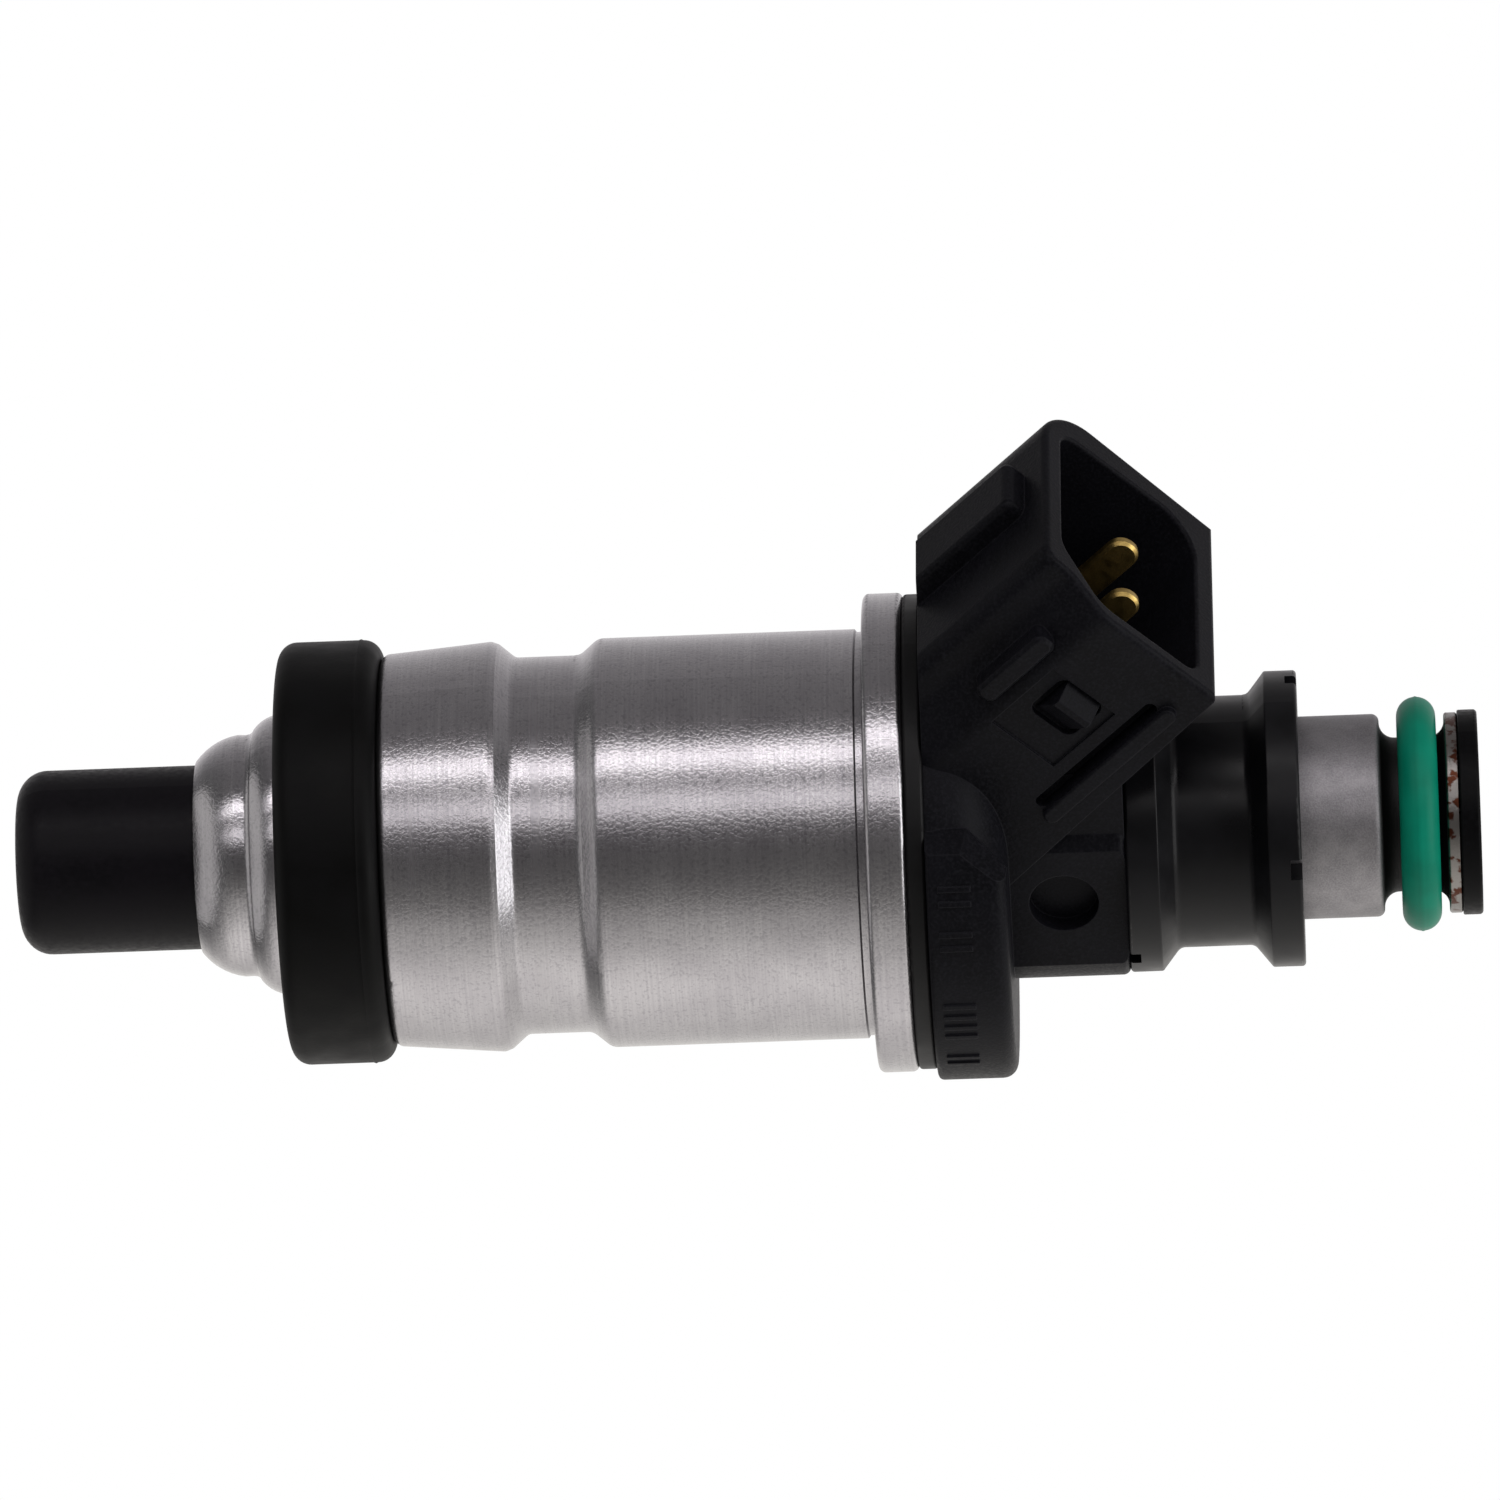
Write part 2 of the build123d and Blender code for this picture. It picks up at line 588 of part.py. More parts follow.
def key_rail():
    """Rail down the socket's back that keys the harness plug, set to one side."""
    low_x = KEY_RAIL_OFFSET - KEY_RAIL_WIDTH / 2
    high_x = KEY_RAIL_OFFSET + KEY_RAIL_WIDTH / 2
    foot = SOCKET_BACK + 0.3
    top = SOCKET_BACK - KEY_RAIL_HEIGHT
    section = [(low_x, foot), (low_x, top, 0.35), (high_x, top, 0.35), (high_x, foot)]
    rail = socket_prism(section, -socket_length(), -KEY_RAIL_BELOW_MOUTH)
    end_edges = rail.edges().group_by(Axis.Z)[-1]
    return fillet(end_edges.filter_by(Axis.X).sort_by(Axis.Y)[0], 0.5)


def side_ribs():
    """The upper rib in the +Y flank's valley, and on both flanks the round-ended lower rib."""
    flank = SOCKET_NEAR_WIDTH
    upper = block(flank - 1.7, flank + 0.1, 3.0, 4.25, -8.2, -3.1)
    upper = fillet(upper.edges().filter_by(Axis.X), 0.5)
    upper = chamfer(upper.faces().sort_by(Axis.X)[-1].edges(), 0.2)
    middle_y = SOCKET_DEPTH - 1.28
    lower = block(flank - 0.5, flank + 0.42, middle_y - 0.47, middle_y + 0.47, -11.7, -2.0)
    lower = fillet(lower.edges().filter_by(Axis.X), 0.46)
    lower = fillet(lower.faces().sort_by(Axis.X)[-1].edges(), 0.15)
    return upper + both_flanks(lower)


def both_flanks(shape):
    """A feature on the +Y flank, with its mirror image laid on the drafted -Y flank."""
    draft = math.degrees(math.atan2(SOCKET_FAR_DRAFT, SOCKET_DEPTH - SOCKET_BACK))
    corner_at_origin = Pos(SOCKET_NEAR_WIDTH, -SOCKET_DEPTH, 0) * mirror(shape, Plane.YZ)
    return shape + Pos(-SOCKET_FAR_WIDTH, SOCKET_DEPTH, 0) * Rot(0, 0, -draft) * corner_at_origin


def latch_ramp():
    """Roof-shaped latch bump on each flank, with its ridge across the socket."""
    base = SOCKET_NEAR_WIDTH - 0.6
    crest = SOCKET_NEAR_WIDTH + 0.7
    roof = outline([(base, -7.0), (crest, -5.6), (crest, -5.25), (base, -4.2)])
    return both_flanks(Pos(0, 6.3, 0) * extrude(roof, 2.25, dir=(0, 1, 0)))


def flank_recesses():
    """On each flank: the shallow latch pad, the pocket round the ramp and the slot by the lower rib."""
    flank = SOCKET_NEAR_WIDTH
    out = flank + 1
    pad = block(flank - 0.15, out, 5.05, 9.4, -9.0, -4.3)
    pocket = block(flank - 0.6, out, 5.85, 8.8, -7.15, -4.35)
    pocket = fillet(pocket.edges().filter_by(Axis.X), 0.6)
    slot = block(flank - 0.9, out, SOCKET_DEPTH - 2.5, SOCKET_DEPTH - 1.75, -11.4, -2.5)
    slot = fillet(slot.edges().filter_by(Axis.X), 0.35)
    return both_flanks(pad + pocket + slot)


def terminal(side):
    """Brass blade with its leg: the blade lies along the mouth direction, the leg runs down to the coil."""
    low_y = BLADE_CENTRE - BLADE_WIDTH / 2
    high_y = BLADE_CENTRE + BLADE_WIDTH / 2
    inner_x = LEG_X - LEG_WIDTH / 2
    outer_x = LEG_X + LEG_WIDTH / 2
    leg_end = BOBBIN_TOP_Z - 1.2
    tip_round = 0.47 * BLADE_WIDTH
    tip_low = SOCKET_FRAME.from_local_coords(Vector(0, low_y, -BLADE_BELOW_MOUTH))
    tip_high = SOCKET_FRAME.from_local_coords(Vector(0, high_y, -BLADE_BELOW_MOUTH))
    strip = outline(
        [
            (tip_low.X, tip_low.Z, tip_round),
            (outer_x, socket_height_at(low_y, outer_x), 1.0),
            (outer_x, leg_end),
            (inner_x, leg_end),
            (inner_x, socket_height_at(high_y, inner_x), 1.0),
            (tip_high.X, tip_high.Z, tip_round),
        ]
    )
    centre_y = side * BLADE_PITCH / 2
    blade = Pos(0, centre_y - BLADE_THICKNESS / 2, 0) * extrude(strip, BLADE_THICKNESS, dir=(0, 1, 0))
    broad_faces = blade.faces().filter_by(Axis.Y)
    return chamfer(broad_faces.edges(), BLADE_BEVEL)


# ---------------------------------------------------------------- connector moulding
def shoulder_drum():
    """The moulding's base under the socket: a drum with one large rounded shoulder up to the neck."""
    swell = NECK_Z - DRUM_Z
    side = [
        Line((0, 0, DRUM_Z), (NECK_R + swell, 0, DRUM_Z)),
        ThreePointArc(
            (NECK_R + swell, 0, DRUM_Z),
            (NECK_R + swell * math.cos(math.pi / 4), 0, DRUM_Z + swell * math.sin(math.pi / 4)),
            (NECK_R, 0, NECK_Z),
        ),
        Line((NECK_R, 0, NECK_Z), (0, 0, NECK_Z)),
        Line((0, 0, NECK_Z), (0, 0, DRUM_Z)),
    ]
    return revolve(make_face(side), Axis.Z)


def label_pad():
    """The larger drum round the side away from the socket: bevelled ends, upper corners cut aslant."""
    whole = turned((0, DRUM_Z), (PAD_R, DRUM_Z, 0.3), (PAD_R, NECK_Z, 0.8), (0, NECK_Z))
    reach = 2 * PAD_R
    bevel_foot = Vector(PAD_R - 1.1, 0, 0).rotate(Axis.Z, PAD_END_AZIMUTH)
    bevel_crest = Vector(PAD_R, 0, 0).rotate(Axis.Z, PAD_END_AZIMUTH + 6)
    beyond = bevel_foot + (bevel_crest - bevel_foot) * 8
    wedge = outline(
        [
            (0, 0),
            (bevel_foot.X, bevel_foot.Y),
            (beyond.X, beyond.Y),
            (2 * reach, 0),
            (beyond.X, -beyond.Y),
            (bevel_foot.X, -bevel_foot.Y),
        ],
        Plane.XY,
    )
    pad = whole - Pos(0, 0, DRUM_Z - 1) * extrude(wedge, DRUM_HEIGHT + 2, dir=(0, 0, 1))
    corner = outline([(-0.6, NECK_Z - 2.6), (2.4, NECK_Z + 0.3), (-0.6, NECK_Z + 0.3)])
    wide_corner = outline([(-0.6, NECK_Z - 4.9), (4.78, NECK_Z + 0.3), (-0.6, NECK_Z + 0.3)])
    cut = Pos(0, PAD_R - 6.1, 0) * extrude(corner, 5, dir=(0, 1, 0))
    cut += loft([Pos(0, PAD_R - 1.1, 0) * corner, Pos(0, PAD_R + 0.3, 0) * wide_corner])
    cut = Rot(0, 0, PAD_END_AZIMUTH - 90) * mirror(cut, Plane.YZ)
    return pad - cut - mirror(cut, Plane.XZ)


def plain_bars():
    """A row of plain raised bars along the pad's rim, in groups of two and four."""
    bars = Part()
    for azimuth in (65, 68.5, 76, 79.5, 96, 99.5, 103, 106.5, 116, 119.5):
        bar = block(PAD_R - 0.4, PAD_R + 0.1, -0.15, 0.15, DRUM_Z + 0.6, DRUM_Z + 2.3)
        bars += Rot(0, 0, azimuth) * bar
    return bars


def moulding_holes():
    """The blind round hole in each flat side of the neck, left by the mould's core pins."""
    pin = Pos(0.4, 5.9, NECK_Z + 2.8) * Rot(-90, 0, 0)
    pin *= Cylinder(1.82, NECK_R, align=(Align.CENTER, Align.CENTER, Align.MIN))
    return pin + mirror(pin, Plane.XZ)


def connector_overmould():
    """Glass-filled plastic moulded round the inlet tube and the terminals."""
    front = SOCKET_FRAME.from_local_coords(Vector(0, SOCKET_DEPTH, 0))
    saddle_x = front.X - (front.Z - CUSHION_Z) / math.tan(SOCKET_ANGLE)
    neck = turned((0, NECK_Z - 1), (NECK_R, NECK_Z - 1), (NECK_R, CUSHION_Z, 0.4), (0, CUSHION_Z))
    neck &= block(-NECK_R, NECK_R, -NECK_FLAT, NECK_FLAT, NECK_Z - 1, CUSHION_Z)
    saddle = block(0, saddle_x, -SADDLE_HALF_WIDTH, SADDLE_HALF_WIDTH, NECK_Z - 1, CUSHION_Z)
    raised = socket_shell() + key_rail() + side_ribs()
    socket = raised - flank_recesses() + (latch_ramp() - socket_cavity())
    below = block(-2 * PAD_R, 4 * PAD_R, -2 * PAD_R, 2 * PAD_R, 0, DRUM_Z)
    solid = (SOCKET_FRAME * socket) - below
    solid += shoulder_drum() + label_pad() + plain_bars() + neck + saddle
    solid += drum(hub_r(), YOKE_TOP_Z, DRUM_Z) + terminal_window(0.05)
    solid -= drum(TUBE_R, 0, CUSHION_Z + 1) + moulding_holes()
    return solid - terminal(1) - terminal(-1)


# ---------------------------------------------------------------- inlet end
def cushion_ring():
    """Rubber spool that cushions the fuel rail cup, with vent slots across both end faces."""
    flange = 1.7
    chamfer = 0.95
    top = CUSHION_Z + CUSHION_LENGTH
    spool = turned(
        (TUBE_R, CUSHION_Z),
        (CUSHION_R, CUSHION_Z, 0.2),
        (CUSHION_R, CUSHION_Z + flange, 0.15),
        (CUSHION_WAIST_R, CUSHION_Z + flange + chamfer, 0.5),
        (CUSHION_WAIST_R, top - flange - chamfer, 0.5),
        (CUSHION_R, top - flange, 0.15),
        (CUSHION_R, top, 0.2),
        (TUBE_R, top),
    )
    for step in range(4):
        slot = block(TUBE_R - 1, CUSHION_R + 1, -0.55, 0.55, top - 0.6, top + 1)
        spool -= Rot(0, 0, 90 * step - 18) * slot
        spool -= Rot(0, 0, 90 * step + 27) * Pos(0, 0, -CUSHION_LENGTH - 0.4) * slot
    return spool


def inlet_o_ring():
    """Green ring that seals the inlet in the fuel rail's cup."""
    section = (O_RING_R - O_RING_GROOVE_R) / 2
    middle = O_RING_GROOVE_Z + O_RING_GROOVE_LENGTH / 2 + O_RING_OFFSET
    return ring(section, O_RING_GROOVE_R + section, middle)


def inlet_end_washer():
    """Plastic washer on the tube's end, with a short spigot into the bore."""
    hole_r = INLET_BORE_R - 0.6
    return turned(
        (hole_r, LIP_Z),
        (INLET_BORE_R, LIP_Z),
        (INLET_BORE_R, WASHER_Z),
        (WASHER_R, WASHER_Z, 0.1),
        (WASHER_R, WASHER_Z + WASHER_THICKNESS, 0.2),
        (hole_r, WASHER_Z + WASHER_THICKNESS, 0.2),
    )


def filter_collar():
    """Brass ring pressed into the inlet bore, which holds the filter."""
    inner_r = INLET_BORE_R - 0.65
    return drum(INLET_BORE_R, FILTER_COLLAR_Z, LIP_Z) - drum(inner_r, FILTER_COLLAR_Z, LIP_Z)


def filter_frame():
    """Plastic basket: a ring in the collar, four ribs and an end cap."""
    ring_r = INLET_BORE_R - 0.65
    mesh_r = ring_r - 0.55
    cap_z = FILTER_Z + 0.3
    ring_z = FILTER_COLLAR_Z - 0.8
    frame = drum(ring_r, ring_z, LIP_Z) - drum(mesh_r, ring_z, LIP_Z)
    frame += drum(ring_r, cap_z, cap_z + 0.8)
    for step in range(4):
        rib = block(mesh_r, ring_r, -0.3, 0.3, cap_z + 0.4, ring_z + 0.4)
        frame += Rot(0, 0, 90 * step + 45) * (rib - drum(mesh_r, 0, WASHER_Z))
    return frame


def filter_screen():
    """Woven sleeve inside the basket's ribs."""
    mesh_r = INLET_BORE_R - 1.2
    low = FILTER_Z + 1.1
    high = FILTER_COLLAR_Z - 0.1
    return drum(mesh_r, low, high) - drum(mesh_r - 0.15, low, high)


# ---------------------------------------------------------------- write the pieces
PIECES = {
    "pintle_cap": pintle_cap,
    "nozzle_body": nozzle_body,
    "nozzle_body_o_ring": nozzle_body_o_ring,
    "stop_plate": stop_plate,
    "needle": needle,
    "armature": armature,
    "return_spring": return_spring,
    "solenoid_housing": solenoid_housing,
    "manifold_seal_ring": manifold_seal_ring,
    "dust_seal_ring": dust_seal_ring,
    "core_tube": core_tube,
    "yoke_plate": yoke_plate,
    "coil_bobbin": coil_bobbin,
    "bobbin_lower_o_ring": bobbin_lower_o_ring,
    "bobbin_upper_o_ring": bobbin_upper_o_ring,
    "coil_winding": coil_winding,
    "spring_adjuster": spring_adjuster,
    "connector_overmould": connector_overmould,
    "cushion_ring": cushion_ring,
    "inlet_o_ring": inlet_o_ring,
    "inlet_end_washer": inlet_end_washer,
    "filter_collar": filter_collar,
    "filter_frame": filter_frame,
    "filter_screen": filter_screen,
}

os.makedirs("parts", exist_ok=True)
for piece_name, make_piece in PIECES.items():
    save(make_piece(), piece_name)
save(terminal(1), "terminal_left")
save(terminal(-1), "terminal_right")
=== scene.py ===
"""Studio scene of a top-feed fuel injector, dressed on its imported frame.

Every length is in metres in the injector's own frame: +Z runs up the injector's axis to the
fuel inlet and +X is the side that the electrical socket leans to. Sizes named *_mm are in
millimetres, because a maker reads them so.
"""

from __future__ import annotations

import logging
import math
from dataclasses import dataclass, field
from enum import Enum
from typing import Any, Callable

import bmesh
import bpy
from mathutils import Matrix, Vector

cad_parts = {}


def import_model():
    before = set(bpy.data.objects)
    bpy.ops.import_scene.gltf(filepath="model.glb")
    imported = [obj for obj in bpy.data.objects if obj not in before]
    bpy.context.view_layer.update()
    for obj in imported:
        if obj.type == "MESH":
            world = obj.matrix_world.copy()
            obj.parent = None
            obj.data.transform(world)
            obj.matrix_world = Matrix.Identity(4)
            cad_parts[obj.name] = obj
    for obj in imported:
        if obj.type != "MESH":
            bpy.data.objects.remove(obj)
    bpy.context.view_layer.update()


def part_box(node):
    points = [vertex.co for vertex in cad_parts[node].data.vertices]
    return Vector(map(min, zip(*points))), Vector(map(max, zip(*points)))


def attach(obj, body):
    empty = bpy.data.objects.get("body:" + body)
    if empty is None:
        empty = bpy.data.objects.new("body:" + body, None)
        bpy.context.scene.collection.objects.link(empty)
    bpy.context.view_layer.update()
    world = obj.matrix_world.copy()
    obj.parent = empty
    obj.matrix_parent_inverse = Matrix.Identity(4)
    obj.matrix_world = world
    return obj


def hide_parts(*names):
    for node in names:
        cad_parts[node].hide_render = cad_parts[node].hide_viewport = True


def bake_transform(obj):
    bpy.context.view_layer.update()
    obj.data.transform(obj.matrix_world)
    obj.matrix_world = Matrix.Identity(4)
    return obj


LOG = logging.getLogger("injector")
MM = 0.001
BODY = "injector_body"
NEAR = 0.01 * MM  # places closer than this count as level with each other
WELD = 1e-6  # vertices closer than this become one
SMOOTH_ANGLE = math.radians(35)  # edges flatter than this are shaded smooth
UPRIGHT = (math.pi / 2, 0, 0)  # turns a flat primitive into a section that holds the axis

Inputs = dict[Any, Any]
Made = list[tuple[str, str]]


# ---------------------------------------------------------------- nodes and colours
class Kind(Enum):
    """The kinds of shader node that the finishes and the light tent are made of."""

    BACKGROUND = "ShaderNodeBackground"
    BEVEL = "ShaderNodeBevel"
    BUMP = "ShaderNodeBump"
    COORDINATES = "ShaderNodeTexCoord"
    GEOMETRY = "ShaderNodeNewGeometry"
    LIGHT_PATH = "ShaderNodeLightPath"
    MAPPING = "ShaderNodeMapping"
    MATERIAL_OUTPUT = "ShaderNodeOutputMaterial"
    MATHS = "ShaderNodeMath"
    MIX = "ShaderNodeMix"
    MIX_SHADER = "ShaderNodeMixShader"
    NOISE = "ShaderNodeTexNoise"
    PRINCIPLED = "ShaderNodeBsdfPrincipled"
    RAMP = "ShaderNodeValToRGB"
    RANGE = "ShaderNodeMapRange"
    SEPARATE = "ShaderNodeSeparateXYZ"
    VECTOR_MATHS = "ShaderNodeVectorMath"
    WORLD_OUTPUT = "ShaderNodeOutputWorld"


def linear(code: str) -> tuple[float, float, float, float]:
    """Turn an sRGB hex colour into the linear colour that Blender's sockets take.

    Args:
        code: Six hex digits, with or without a leading #.

    Returns:
        Linear red, green, blue and an alpha of 1.
    """
    digits = code.lstrip("#")
    channels = []
    for start in (0, 2, 4):
        value = int(digits[start : start + 2], 16) / 255
        channels.append(value / 12.92 if value <= 0.04045 else ((value + 0.055) / 1.055) ** 2.4)
    return (*channels, 1.0)


def per_mm(size_mm: float) -> float:
    """Texture scale, in repeats a metre, of a pattern whose grain is size_mm across."""
    return 1.0 / (size_mm * MM)


def add_node(
    tree: bpy.types.NodeTree, kind: Kind, inputs: Inputs, output: int | str = 0, **settings: Any
) -> Any:
    """Add one shader node with its settings and links.

    Args:
        tree: The node tree to add to.
        kind: The kind of node.
        inputs: Socket names or numbers to what each takes: an output to link, an sRGB hex
            colour or a plain value.
        output: The name or number of the output wanted.
        **settings: The node's properties. A colour ramp's stops are (place, colour) pairs,
            where a colour is a grey level or an sRGB hex colour.

    Returns:
        The wanted output of the new node.
    """
    node = tree.nodes.new(kind.value)
    stops = settings.pop("stops", ())
    for name, value in settings.items():
        setattr(node, name, value)
    if stops:
        line = node.color_ramp
        while len(line.elements) < len(stops):
            line.elements.new(0.5)
        for element, (place, colour) in zip(line.elements, stops):
            element.position = place
            element.color = linear(colour) if isinstance(colour, str) else (*(colour,) * 3, 1.0)
    for name, value in inputs.items():
        if isinstance(value, bpy.types.NodeSocket):
            tree.links.new(value, node.inputs[name])
        else:
            node.inputs[name].default_value = linear(value) if isinstance(value, str) else value
    return node.outputs[output] if node.outputs else None


def start_material(name: str) -> tuple[bpy.types.Material, bpy.types.NodeTree, Any]:
    """Start a material.

    Args:
        name: The material's name.

    Returns:
        The material, its empty node tree and its Object coordinates.
    """
    material = bpy.data.materials.new(name)
    material.use_nodes = True
    tree = material.node_tree
    tree.nodes.clear()
    return material, tree, add_node(tree, Kind.COORDINATES, {}, "Object")


def end_material(material: bpy.types.Material, shader: Inputs) -> bpy.types.Material:
    """End a material with its principled shader.

    Args:
        material: The material.
        shader: The principled shader's sockets and what each takes.

    Returns:
        The material.
    """
    surface = add_node(material.node_tree, Kind.PRINCIPLED, shader)
    add_node(material.node_tree, Kind.MATERIAL_OUTPUT, {"Surface": surface})
    return material


def shaded(
    tree: bpy.types.NodeTree,
    pattern: Any,
    span: tuple[float, float],
    low: Any,
    high: Any,
    shares: tuple[float, float] = (0.0, 1.0),
) -> Any:
    """Blend two colours where a pattern rises.

    Args:
        tree: The node tree to add to.
        pattern: The pattern's output, 0 to 1.
        span: The pattern's levels between which the blend runs.
        low: The colour where the share is 0, as an output or an sRGB hex colour.
        high: The colour where the share is 1.
        shares: How much of the high colour shows at each end of the span.

    Returns:
        The blended colour's output.
    """
    mask = add_node(tree, Kind.RAMP, {"Fac": pattern}, stops=tuple(zip(span, shares)))
    return add_node(tree, Kind.MIX, {0: mask, 6: low, 7: high}, 2, data_type="RGBA")


def rounded_edges(tree: bpy.types.NodeTree, radius_mm: float) -> tuple[Any, Any]:
    """Round sharp edges in the shading, as a mould or a tumbling barrel leaves them.

    Args:
        tree: The node tree to add to.
        radius_mm: The edge's radius.

    Returns:
        The rounded normal, and a mask that is 1 on the rounding and 0 on flat ground.
    """
    soft = add_node(tree, Kind.BEVEL, {"Radius": radius_mm * MM}, samples=6)
    flat = add_node(tree, Kind.GEOMETRY, {}, "Normal")
    agree = add_node(tree, Kind.VECTOR_MATHS, {0: soft, 1: flat}, "Value", operation="DOT_PRODUCT")
    # The two normals part by 6 degrees where the rounding starts and by 26 where it is full
    mask = add_node(tree, Kind.RANGE, {"Value": agree, "From Min": 0.995, "From Max": 0.9})
    return soft, mask


def height_band(
    tree: bpy.types.NodeTree, place: Any, low: float, high: float, soft_mm: float
) -> Any:
    """1 between two heights on the injector's axis and 0 outside, with soft edges.

    Args:
        tree: The node tree to add to.
        place: The Object coordinates.
        low: The band's lower height in metres.
        high: The band's upper height in metres.
        soft_mm: How far each edge fades.

    Returns:
        The mask's output.
    """
    height = add_node(tree, Kind.SEPARATE, {"Vector": place}, "Z")
    soft = soft_mm * MM
    up = {"Value": height, "From Min": low - soft, "From Max": low + soft}
    down = {"Value": height, "From Min": high + soft, "From Max": high - soft}
    ends = {0: add_node(tree, Kind.RANGE, up), 1: add_node(tree, Kind.RANGE, down)}
    return add_node(tree, Kind.MATHS, ends, operation="MULTIPLY")


# ---------------------------------------------------------------- finishes
@dataclass(frozen=True)
class TurnedSteel:
    """Low-carbon steel, turned on a lathe and tumbled: rings round the axis, pits in the shine.

    The rings and pits are drawn a little coarser than the real ones, which are too fine to show.
    """

    name: str
    colour: str = "#aaa8aa"
    shade: str = "#9c9a9d"
    stain: str = "#8c898d"
    stain_mm: float = 3.5
    roughness: float = 0.25
    anisotropy: float = 0.6
    ring_mm: float = 0.12
    ring_depth_mm: float = 0.0008
    ring_stretch: tuple[float, float, float] = (0.012, 0.012, 1.0)
    sheen_mm: float = 1.3
    sheen_stretch: tuple[float, float, float] = (0.02, 0.02, 1.0)
    pit_mm: float = 0.17
    pit_depth_mm: float = 0.0035
    pit_colour: str = "#737176"
    smooth_below: float | None = None
    rolled_gloss: float = 0.04

    def build(self) -> bpy.types.Material:
        """Build the material.

        Returns:
            The material, smoother below smooth_below, where the metal was rolled.
        """
        material, tree, place = start_material(self.name)
        # Tool marks: noise that is fine along the axis and nearly constant round it
        along = add_node(tree, Kind.MAPPING, {"Vector": place, "Scale": self.ring_stretch})
        marks = {"Vector": along, "Scale": per_mm(self.ring_mm), "Detail": 3.0}
        rings = add_node(tree, Kind.NOISE, marks)
        along = add_node(tree, Kind.MAPPING, {"Vector": place, "Scale": self.sheen_stretch})
        sheen = {"Vector": along, "Scale": per_mm(self.sheen_mm), "Detail": 2.0}
        broad = add_node(tree, Kind.NOISE, sheen)
        holes = {"Vector": place, "Scale": per_mm(self.pit_mm), "Detail": 3.0}
        pits = add_node(tree, Kind.NOISE, holes)
        clouds = {"Vector": place, "Scale": per_mm(self.stain_mm), "Detail": 5.0}
        stain = add_node(tree, Kind.NOISE, clouds)
        tint = shaded(tree, rings, (0.3, 0.7), self.shade, self.colour)
        tint = shaded(tree, stain, (0.40, 0.70), tint, self.stain, (0.0, 0.45))
        tint = shaded(tree, pits, (0.36, 0.45), tint, self.pit_colour, (0.35, 0.0))
        levels = ((0.3, self.roughness - 0.015), (0.7, self.roughness + 0.03))
        rough = add_node(tree, Kind.RAMP, {"Fac": broad}, stops=levels)
        if self.smooth_below is not None:
            rolled = height_band(tree, place, -1.0, self.smooth_below, 0.3)
            gloss = {0: rolled, 2: rough, 3: self.roughness - self.rolled_gloss}
            rough = add_node(tree, Kind.MIX, gloss, data_type="FLOAT")
        lay = {"Height": rings, "Distance": self.ring_depth_mm * MM, "Strength": 1.0}
        shape = add_node(tree, Kind.BUMP, lay)
        raised = add_node(tree, Kind.RAMP, {"Fac": pits}, stops=((0.42, 0.0), (0.60, 1.0)))
        dents = {"Height": raised, "Distance": self.pit_depth_mm * MM, "Strength": 1.0}
        shape = add_node(tree, Kind.BUMP, {**dents, "Normal": shape})
        shader = {"Metallic": 1.0, "Anisotropic": self.anisotropy, "Anisotropic Rotation": 0.25}
        looks = {"Base Color": tint, "Roughness": rough, "Normal": shape}
        return end_material(material, {**shader, **looks})


@dataclass(frozen=True)
class BlastedSteel:
    """Stainless steel, bead blasted: an even grey grain with no lines and a broad dull shine."""

    name: str
    lip_low: float
    lip_high: float
    groove_low: float
    colour: str = "#8a888a"
    shade: str = "#737174"
    cloud: str = "#a3a1a2"
    cloud_mm: float = 1.2
    # Painted shade: the dark grey laid over the O-ring's groove
    groove_painted_shade: str = "#2c2c2c"
    lip_colour: str = "#75726f"
    rust: str = "#43251a"
    rust_mm: float = 0.6
    grain_mm: float = 0.09
    grain_depth_mm: float = 0.012
    roughness: float = 0.52
    lip_roughness: float = 0.3

    def build(self) -> bpy.types.Material:
        """Build the material.

        Returns:
            The material: dull grain, painted shade over the O-ring groove and a bright lip with
                rust specks.
        """
        material, tree, place = start_material(self.name)
        blast = {"Vector": place, "Scale": per_mm(self.grain_mm), "Detail": 3.0}
        grain = add_node(tree, Kind.NOISE, blast)
        haze = {"Vector": place, "Scale": per_mm(self.cloud_mm), "Detail": 3.0}
        cloud = add_node(tree, Kind.NOISE, haze)
        spots = {"Vector": place, "Scale": per_mm(self.rust_mm), "Detail": 3.0}
        specks = add_node(tree, Kind.NOISE, spots)
        greys = ((0.3, self.shade), (0.7, self.colour))
        tint = add_node(tree, Kind.RAMP, {"Fac": grain}, stops=greys)
        tint = shaded(tree, cloud, (0.4, 0.7), tint, self.cloud, (0.0, 0.3))
        bright = shaded(tree, specks, (0.50, 0.57), self.lip_colour, self.rust)
        # Painted shade: a dark band from just below the O-ring up to the lip, where the groove lies
        # in shadow
        groove_shade_band = height_band(tree, place, self.groove_low, self.lip_low, 0.05)
        lip = height_band(tree, place, self.lip_low, self.lip_high, 0.03)
        dark = {0: groove_shade_band, 6: tint, 7: self.groove_painted_shade}
        tint = add_node(tree, Kind.MIX, dark, 2, data_type="RGBA")
        tint = add_node(tree, Kind.MIX, {0: lip, 6: tint, 7: bright}, 2, data_type="RGBA")
        gloss = {0: lip, 2: self.roughness, 3: self.lip_roughness}
        rough = add_node(tree, Kind.MIX, gloss, data_type="FLOAT")
        tooth = {"Height": grain, "Distance": self.grain_depth_mm * MM, "Strength": 1.0}
        shape = add_node(tree, Kind.BUMP, tooth)
        looks = {"Base Color": tint, "Roughness": rough, "Normal": shape}
        return end_material(material, {"Metallic": 1.0, **looks})


